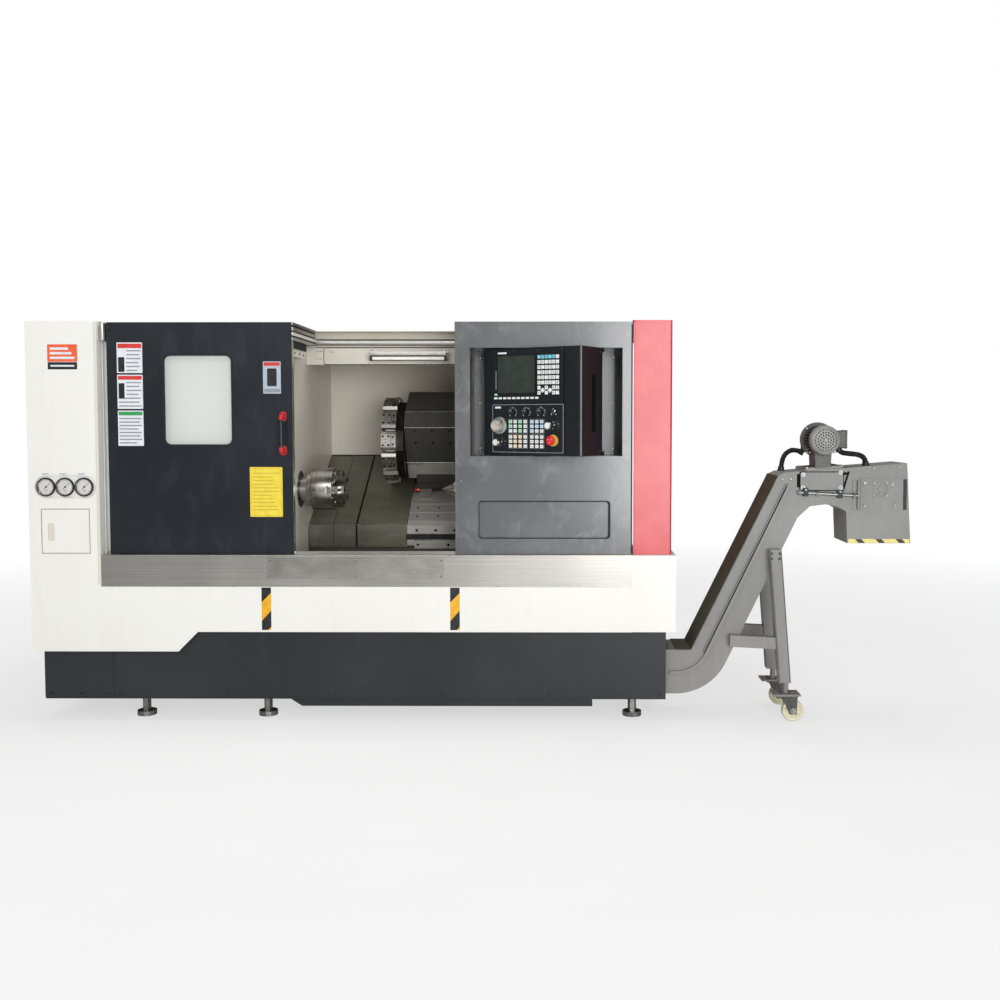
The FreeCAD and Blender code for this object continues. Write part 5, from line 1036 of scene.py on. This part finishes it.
# two ribbed conduits with their glands; both ends are fixed
conduits = [
    ((3613, 235, 1246), (3571, 235, 1262), (3533, 233, 1246), (3511, 230, 1210), (3507, 228, 1160)),
    ((3745, 100, 1271), (3753, 101, 1250), (3795, 106, 1244), (3845, 112, 1240), (3879, 118, 1222),
    (3881, 120, 1189)),
]
for route in conduits:
    curve = bpy.data.curves.new("conduit line", "CURVE")
    curve.dimensions = "3D"
    line = curve.splines.new("NURBS")
    line.points.add(len(route) - 1)
    for point, (x, y, z) in zip(line.points, route):
        point.co = (x, y, z, 1)
    line.order_u = 3
    line.use_endpoint_u = True
    line.resolution_u = 24
    holder = bpy.data.objects.new("conduit line", curve)
    traced = bpy.data.meshes.new_from_object(holder)
    spine = [vertex.co.copy() for vertex in traced.vertices]
    bpy.data.objects.remove(holder)
    steps, travelled = [], 0.0
    for near, far in zip(spine, spine[1:]):
        span = (far - near).length
        count = max(1, round(span / 1.6))
        for k in range(count):
            steps.append((near.lerp(far, k / count), travelled + span * k / count))
        travelled += span
    steps.append((spine[-1], travelled))
    radii = [12.4 if (along / 4.8) % 1 < 0.5 else 10.6 for point, along in steps]
    addTube([point for point, along in steps], radii, 20, 0)
    for end, inward in ((spine[0], spine[3] - spine[0]), (spine[-1], spine[-4] - spine[-1])):
        way = inward.normalized()
        addTube([end - way * 1.0, end + way * 5, end + way * 5.2, end + way * 17, end + way * 18.5],
            [17, 17, 15, 15, 12.8], 12, 1)
finishPiece("drive_conduits", [blackRubber, blackAbs], "machine", 0.25)

# conveyor head: cover plates, bolts, tension rod, hinge, dark edge strip and the tape under the chute
headFace, bearing, conveyorFace, flangeFace = frontAt(62), frontAt(61), frontAt(65), frontAt(64)
rod = {"left": 3548, "right": 3838, "y": 55, "high": 1066, "low": 1050}


def headTop(x):  # the level of the head's sloping top
    return 1154 + (x - 3460) * tan(footSlope)


def rodLevel(x):  # the tension rod falls a little to the right
    return rod["high"] - (x - rod["left"]) * (rod["high"] - rod["low"]) / (rod["right"] - rod["left"])


for x, z in ((3576, 1147), (3750, 1158), (3576, 1087), (3750, 1087)):
    addTurned(headFace, (x, z), [(0, 0), (10, 0), (10, 1.6), (0, 1.6)], 28, 4)
    addScrew(headFace, x, z, 6.5, 1.6, 1, 2)
addPlate(headFace, rounded(3755, 3790, 1147, 1158, 5), -1.5, 0.6, 2)
addBox(conveyorFace, 3548, 3560, 1088, 1150, -0.5, 0.8, 2)
addPlate(conveyorFace, turnedBar(3776, 1122, 84, 9, 74), -0.5, 0.8, 2)
addBorder(headFace, (3560, 3766, 1072, 1162), (0, 3), (4, 2), -1.5, 0.5, 2, 3)
addTube([(x, rod["y"], rodLevel(x)) for x in (rod["left"], rod["right"])], 7.5, 20, 1)
for x in (3586, 3745):
    z = rodLevel(x)
    addPlate(conveyorFace, rounded(x - 12, x + 12, z - 16, z + 22, 4), -1, 18, 3)
    addScrew(frontAt(47), x, z + 14, 5, 0, 1, 2)
for x in (3560, 3640, 3812):
    addTube([(x + side * 6, rod["y"], rodLevel(x)) for side in (-1, 1)], 13, 6, 1)
hinge = {"place": (3832, 54), "low": 986, "high": 1120}
addTube([(*hinge["place"], hinge["low"]), (*hinge["place"], hinge["high"])], 6, 18, 1)
for k in range(5):
    z = hinge["low"] + 5 + 26.5 * k
    addTube([(*hinge["place"], z), (*hinge["place"], z + 22)], 7.6, 18, 0)
addBox(headFace, 3806, 3838, hinge["low"], hinge["high"], -2.6, 0.4, 0)
addScrews(bearing, ((3990, 1103), (4000, 1006), (3862, 1108), (3862, 1002)), 7.5, 0, 1, 2)
addTurned(bearing, (3935, 1079), [(0, -1), (34, -1), (34, 1.6), (31, 2.6), (16, 2.6), (14, 5), (0, 5)], 48, 0)
addScrews(bearing, circle(3935, 1079, 40, 4, 45), 5, 0, 1, 2)
addBox(bearing, 4040, 4056, 984, 1126, -1, 1.4, 3)
addScrews(flangeFace, [(x, headTop(x) - 12) for x in (3902, 4022)] + [(x, 1126) for x in (3480, 3520)], 6, 0, 1, 2)
finishPiece("conveyor_head_fittings", [greyConveyorPaint, zincPlate, darkHole, keyTrim, whiteVinyl], "machine",
    0.5)
for k in range(3):
    left = 3790 + 94 * k
    addBox(conveyorFace, left, left + 94 if k < 2 else 4074, 829, 848, -0.4, 0.4, 0)
    addPlate(conveyorFace, [(left + 48, 829.3), (left + 78, 829.3), (left + 60, 847.7), (left + 30, 847.7)], 0.4, 0.6,
        1)
paleTape = mouldedPlastic("printed worn yellow tape", printed, "#E6D888", "#D8C973")
finishPiece("chute_tape", [paleTape, blackVinyl], "machine", 0)
print("conveyor head dressed")

# incline and legs: cover screws, a black strip that paints the shadow under the ledge, leg flanges, brace edges and
# foot plates
incline = radians(64.3)


def onLedge(along, across):
    return 3062 + along * cos(incline) - across * sin(incline), 327 + along * sin(incline) + across * cos(incline)


addScrews(conveyorFace, [onLedge(30 + 106 * k, -12) for k in range(8)], 5, 0, 1, 2)
# a black strip along the ledge paints the shadow it casts
addPlate(frontAt(66), [onLedge(14, -57.5), onLedge(14, -65), onLedge(893, -63), onLedge(893, -57.5)], -1, 5.5, 3)
addPlate(frontAt(50), [onLedge(14, -54), onLedge(14, -57), onLedge(890, -57), onLedge(890, -54)], -4, -0.2, 0)
finishPiece("incline_ledge", [greyConveyorPaint, zincPlate, darkHole, blackRubber], "machine", 0.5)
leg = {"x": 3442, "low": 186, "high": 803, "lean": tan(radians(4.6)), "half": 24.5}
foot = leg["x"] + (leg["high"] - 150) * leg["lean"]
for flangeY, sign in ((10, 1), (356, -1)):
    face = sheetAt(0, flangeY, 0, (sign, 0, 0))
    for edge in (-leg["half"], leg["half"]):
        low, high = leg["x"] + (leg["high"] - leg["low"]) * leg["lean"] + edge, leg["x"] + edge
        shape = [(low - 2, leg["low"]), (low + 2, leg["low"]), (high + 2, leg["high"] - 3),
            (high - 2, leg["high"] - 3)]
        addPlate(face, [(sign * u, w) for u, w in shape][::sign], -1, 1.6, 0)
    addScrews(upAt(foot, flangeY + sign * 27), [(u, w) for u in (-19, 19) for w in (-18, 18)], 6, 132, 1, 2)
    addScrews(face, [(sign * u, w) for w in (786, 762) for u in (3424, 3460)], 6, 0, 1, 2)
finishPiece("leg_edges", [drivePaint, darkPress, darkHole], "machine", 0.6)
print("conveyor legs dressed")

# casters: crowned nylon wheels with a hub, axle nuts and the four plate bolts
caster = {"x": 3500, "depths": (37.5, 328.5), "trail": 32, "radius": 50, "half": 20}
r, half, wheelX = caster["radius"], caster["half"], caster["x"] + caster["trail"]
edge = [(0, half - 2), (15, half - 2), (17, half - 5), (33, half - 6), (36, half - 1.5), (39, half), (46, half),
    (49, half - 4), (r, half - 11)]
wheelProfile = [(a, -b) for a, b in edge] + edge[::-1]
for k, depth in enumerate(caster["depths"]):
    wheelSheet = sheetAt(wheelX, depth, r)
    addTurned(wheelSheet, (0, 0), wheelProfile, 72, 0)
    for n in range(6):
        turn = radians(60 * n)
        addPlate(wheelSheet, turnedBar(*around(0, 0, 25, turn), 17, 4, 60 * n), -half + 3.2, half - 3.2, 0)
    low, high = -half + 0.6, half - 0.6
    addTurned(wheelSheet, (0, 0), [(6.5, low), (11, low), (11, high), (6.5, high), (6.5, low)], 32, 1)
    wheelName = "caster_wheel_%d" % (k + 1)
    finishPiece("nylon_wheel_%d" % (k + 1), [nylonWheel, zincPlate], wheelName, 0.6, [wheelName])
    for sign in (-1, 1):
        cheek = sheetAt(wheelX, depth + sign * 25, r, (-sign, 0, 0))
        addPlate(cheek, circle(0, 0, 10, 6), -0.5, 7, 0)
        addTurned(cheek, (0, 0), [(0, 6.8), (6, 6.8), (5.4, 11), (0, 11)], 20, 0)
        addTurned(cheek, (0, 0), [(0, -0.4), (14, -0.4), (14, 1.4), (0, 1.4)], 28, 0)
    under = sheetAt(caster["x"], depth, 0, ahead, (0, -1, 0))
    addScrews(under, ((-26, 22), (-26, -22), (34, 22), (34, -22)), 5.5, -116, 0, 1)
    finishPiece("caster_fittings_%d" % (k + 1), [zincPlate, darkHole], "caster_fork_%d" % (k + 1), 0.4)
print("casters dressed")

# plinth: the seam of its left end panel, the bottom fold and the screws along both
plinthLook = {"left": 42, "right": 2941, "seam": 364, "low": 100, "high": 329}
left, right, seam, low, high = plinthLook.values()
plinthFace = frontAt(30)
addBox(plinthFace, seam - 1.6, seam + 1.6, low + 2, high - 2, -0.4, 0.5, 0)
addBox(plinthFace, left + 2, right - 2, low + 0.5, low + 6, -0.4, 1.6, 1)
addScrews(plinthFace, [(x, low + 24) for x in (70, 210, 340, 392, 900, 1400, 1900, 2400, 2910)], 5.5, 0, 1, 2)
finishPiece("plinth_seams", [blackRubber, plinthPaint, darkHole], "machine", 0.6)
print("plinth dressed")

# back: three service doors with pressed louvres, hinges and quarter-turn locks, a gland plate and the row of screws
rear = {"face": 1450, "low": 100, "high": 1850, "lift": 1.8, "corner": 14, "seams": (835, 1885)}
rearDoors = (  # each door's box from the front, the levels its louvres run between, and how wide they are
    {"box": (70, 790, 700, 1780), "vents": (1500, 1720), "span": 420},
    {"box": (880, 1840, 860, 1780), "vents": (1480, 1720), "span": 620},
    {"box": (1930, 2700, 700, 1780), "vents": (780, 960), "span": 460},
)
louvre = {"pitch": 24, "rise": 11, "deep": 3.6}
sheetTrim = [whitePowderCoat, zincPlate, blackRubber, darkHole, blackAbs]
backFace = sheetAt(0, rear["face"], 0, (-1, 0, 0))  # u is minus x


def addLouvres(place, span, low, high):  # place makes the sheet across a louvre at the height asked for
    for z in range(low, high + 1, louvre["pitch"]):
        hood = [(-0.5, 0), (louvre["deep"], 0), (louvre["deep"] - 0.4, 3), (-0.5, louvre["rise"])]
        addPlate(place(z), hood, -span / 2, span / 2, 0)
        addBox(place(z), -0.5, 0.4, -2.4, 0.1, 4 - span / 2, span / 2 - 4, 3)


def addLid(plane, box, corner, lift):  # a lifted door sheet with the dark line of its gap
    addPlate(plane, inset(box, -3, corner + 3), -0.4, 0.3, 2)
    addPlate(plane, inset(box, 0, corner), -0.4, lift, 0)


for door in rearDoors:
    left, right, low, high = door["box"]
    addLid(backFace, (-right, -left, low, high), rear["corner"], rear["lift"])
    middle = (left + right) / 2
    addLouvres(lambda z: sheetAt(middle, rear["face"] + rear["lift"], z, (0, 1, 0)), door["span"], *door["vents"])
    for z in (low + 120, high - 120):
        addTube([(right + 6, rear["face"] + 3, z + side * 34) for side in (-1, 1)], 5, 16, 1)
        addBox(backFace, -right - 26, -right - 8, z - 26, z + 26, -0.4, 2.4, 1)
        addTurned(backFace, (-left - 34, z), [(0, 1.6), (15, 1.6), (15, 3.4), (13, 4.6), (0, 4.6)], 32, 1)
        addBox(backFace, -left - 42, -left - 26, z - 1.6, z + 1.6, 4.5, 4.9, 3)
for x in (30, *rear["seams"], 2752):
    addScrews(backFace, [(-x, 150 + 200 * k) for k in range(9)], 5, 0, 1, 3)
for x in rear["seams"]:
    addBox(backFace, -x - 12.6, -x - 11.4, rear["low"] + 4, rear["high"] - 4, -0.4, 0.4, 2)
addPlate(backFace, rounded(-700, -160, 240, 520, 8), -0.4, 2.2, 0)
glands = ((240, 440, 24), (330, 440, 24), (420, 440, 18), (500, 440, 18), (580, 440, 18), (240, 330, 15),
    (320, 330, 15), (400, 330, 15))
for x, z, r in glands:
    profile = [(0, 2), (r, 2), (r, 6.5), (0.8 * r, 8), (0.62 * r, 8), (0.62 * r, 3), (0, 3)]
    addTurned(backFace, (-x, z), profile, 24, 4)
addScrews(backFace, [(-x, z) for x in (176, 430, 684) for z in (256, 504)], 5, 2.2, 1, 3)
addPlate(backFace, rounded(-1700, -1020, 300, 640, 8), -0.4, 2.2, 0)
addLouvres(lambda z: sheetAt(1360, rear["face"] + 2.2, z, (0, 1, 0)), 520, 360, 580)
finishPiece("rear_service_doors", sheetTrim, "machine", 0.7)
print("back dressed")

# roof: folded seams, capped lifting points and the screw rows of the rear roof sheets
roofTop = {"level": 1852, "front": 650, "back": 1440, "seams": (840, 1460, 2100), "lift": 2.2}
roofFace, near, far = upAt(0, 0, roofTop["level"]), roofTop["front"], roofTop["back"]
for x in roofTop["seams"]:
    addBox(roofFace, x - 9, x + 9, near, far, -0.4, roofTop["lift"], 0)
    addBox(roofFace, x + 8.6, x + 10.2, near, far, -0.4, 0.4, 2)
    addScrews(roofFace, [(x, near + 40 + 142 * k) for k in range(6)], 4, roofTop["lift"], 1, 3)
cap = [(0, -0.4), (36, -0.4), (36, 2), (34, 3.4), (17, 3.4), (15, 5), (0, 5)]
for x in (420, 2520):
    for y in (760, 1340):
        addTurned(roofFace, (x, y), cap, 40, 4)
addScrews(roofFace, [(x, far - 8) for x in range(300, 2760, 246)], 4, 0, 1, 3)
finishPiece("roof_seams", sheetTrim, "machine", 0.6)

# left side of the cabinet: a maintenance door, its latch and hinges, and a louvred vent behind it
sideFace = sheetAt(0, 0, 0, (0, -1, 0))  # u is minus y
sideDoor = {"front": 90, "back": 690, "low": 420, "high": 1770, "lift": 1.8}
addLid(sideFace, (-sideDoor["back"], -sideDoor["front"], sideDoor["low"], sideDoor["high"]), 14, sideDoor["lift"])
addPlate(sideFace, rounded(-184, -130, 1040, 1160, 6), 1.6, 2.8, 4)
addPlate(sideFace, rounded(-176, -138, 1052, 1148, 12), 2.6, 5.4, 1)
for z in (520, 1095, 1670):
    addTube([(-3, sideDoor["back"] + 6, z + side * 34) for side in (-1, 1)], 5, 16, 1)
addPlate(sideFace, rounded(-1340, -820, 1280, 1700, 10), -0.4, 1.8, 0)
addLouvres(lambda z: sheetAt(-1.8, 1080, z, (-1, 0, 0)), 420, 1340, 1640)
addScrews(sideFace, [(-y, z) for y in (834, 1080, 1326) for z in (1294, 1686)], 5, 1.8, 1, 3)
addScrews(sideFace, [(-1420, 380 + 220 * k) for k in range(7)], 5, 0, 1, 3)
finishPiece("left_side_door", sheetTrim, "machine", 0.7)
print("roof and left side dressed")

# room, lamps and camera
room = {"floor": (0.8, 0.86), "nearWhite": 0.62, "fade": (2.6, 7.0), "world": "#FFFFFF", "fill": 0.34,
    "mirrored": 0.1}


def seenDirectly(tree):  # 1 for what the camera sees, also through the window; and the node with all kinds of ray
    rays = addNode(tree, "LightPath")
    kinds = {0: rays.outputs["Is Camera Ray"], 1: rays.outputs["Is Transmission Ray"]}
    return addNode(tree, "Math", {"operation": "MAXIMUM"}, kinds), rays


floorMesh = bpy.data.meshes.new("floor")
floorMesh.from_pydata([(-30, -30, 0), (30, -30, 0), (30, 30, 0), (-30, 30, 0)], [], [(0, 1, 2, 3)])
floor = bpy.data.objects.new("floor", floorMesh)
bpy.context.collection.objects.link(floor)
floorMaterial, tree, spot = newMaterial("plain pale floor")
mottle = addNode(tree, "TexNoise", {"Scale": 3, "Detail": 5}, {"Vector": spot})
least, most = room["floor"]
grey = addNode(tree, "MapRange", {"To Min": least, "To Max": most}, {"Value": mottle})
matt = addNode(tree, "BsdfDiffuse", {}, {"Color": grey})
white = addNode(tree, "Emission", {"Color": (1, 1, 1, 1), "Strength": 1})
away = addNode(tree, "VectorMath", {"operation": "LENGTH"}, {0: spot}).outputs["Value"]
least, most = room["fade"]
fade = addNode(tree, "MapRange", {"From Min": least, "From Max": most, "To Min": room["nearWhite"], "To Max": 1},
    {"Value": away})
share = addNode(tree, "Math", {"operation": "MULTIPLY"}, {0: seenDirectly(tree)[0], 1: fade})
floorShader = addNode(tree, "MixShader", {}, {0: share, 1: matt, 2: white})
addNode(tree, "OutputMaterial", {}, {"Surface": floorShader})
floorMesh.materials.append(floorMaterial)

world = bpy.data.worlds.new("studio")
bpy.context.scene.world = world
world.use_nodes = True
tree = world.node_tree
tree.nodes.clear()
seen, rays = seenDirectly(tree)
indirect = {"To Min": room["fill"], "To Max": room["mirrored"]}
glossy = addNode(tree, "MapRange", indirect, {"Value": rays.outputs["Is Glossy Ray"]})
level = addNode(tree, "MapRange", {"To Max": 1}, {"Value": seen, "To Min": glossy})
backdrop = addNode(tree, "Background", {"Color": toLinear(room["world"])}, {"Strength": level})
addNode(tree, "OutputWorld", {}, {"Surface": backdrop})

lamps = {
    "frontSoftbox": {"place": (-2.6, -7.4, 4.4), "aim": (-0.3, 0.0, 1.0), "size": (5.0, 2.4), "watts": 140},
    "windowSoftbox": {"place": (2.7, -8.4, 1.7), "aim": (0.9, 0.0, 1.0), "size": (3.4, 3.3), "watts": 330},
    "topSoftbox": {"place": (-0.2, 0.2, 5.0), "aim": (-0.2, 0.0, 0.0), "size": (5.0, 3.0), "watts": 130},
}
for name, lamp in lamps.items():
    light = bpy.data.lights.new(name, "AREA")
    light.shape = "RECTANGLE"
    light.size, light.size_y = lamp["size"]
    light.energy = lamp["watts"]
    holder = bpy.data.objects.new(name, light)
    holder.location = lamp["place"]
    holder.rotation_euler = (Vector(lamp["aim"]) - Vector(lamp["place"])).to_track_quat("-Z", "Y").to_euler()
    bpy.context.collection.objects.link(holder)

shot = {"place": (2421.3, -4930.7, 1397.0), "down": 3.0, "left": 0.347, "lens": 38.751, "shift": (-0.0477, -0.0228)}
lens = bpy.data.cameras.new("photo view")
lens.lens = shot["lens"]
lens.sensor_width = 36
lens.shift_x, lens.shift_y = shot["shift"]
lens.clip_end = 100
camera = bpy.data.objects.new("photo view", lens)
camera.location = at(*shot["place"])
camera.rotation_euler = (radians(90 - shot["down"]), 0, radians(shot["left"]))
bpy.context.collection.objects.link(camera)
bpy.context.scene.camera = camera
bpy.context.scene.view_settings.view_transform = "Standard"
print("room, lamps and camera set")
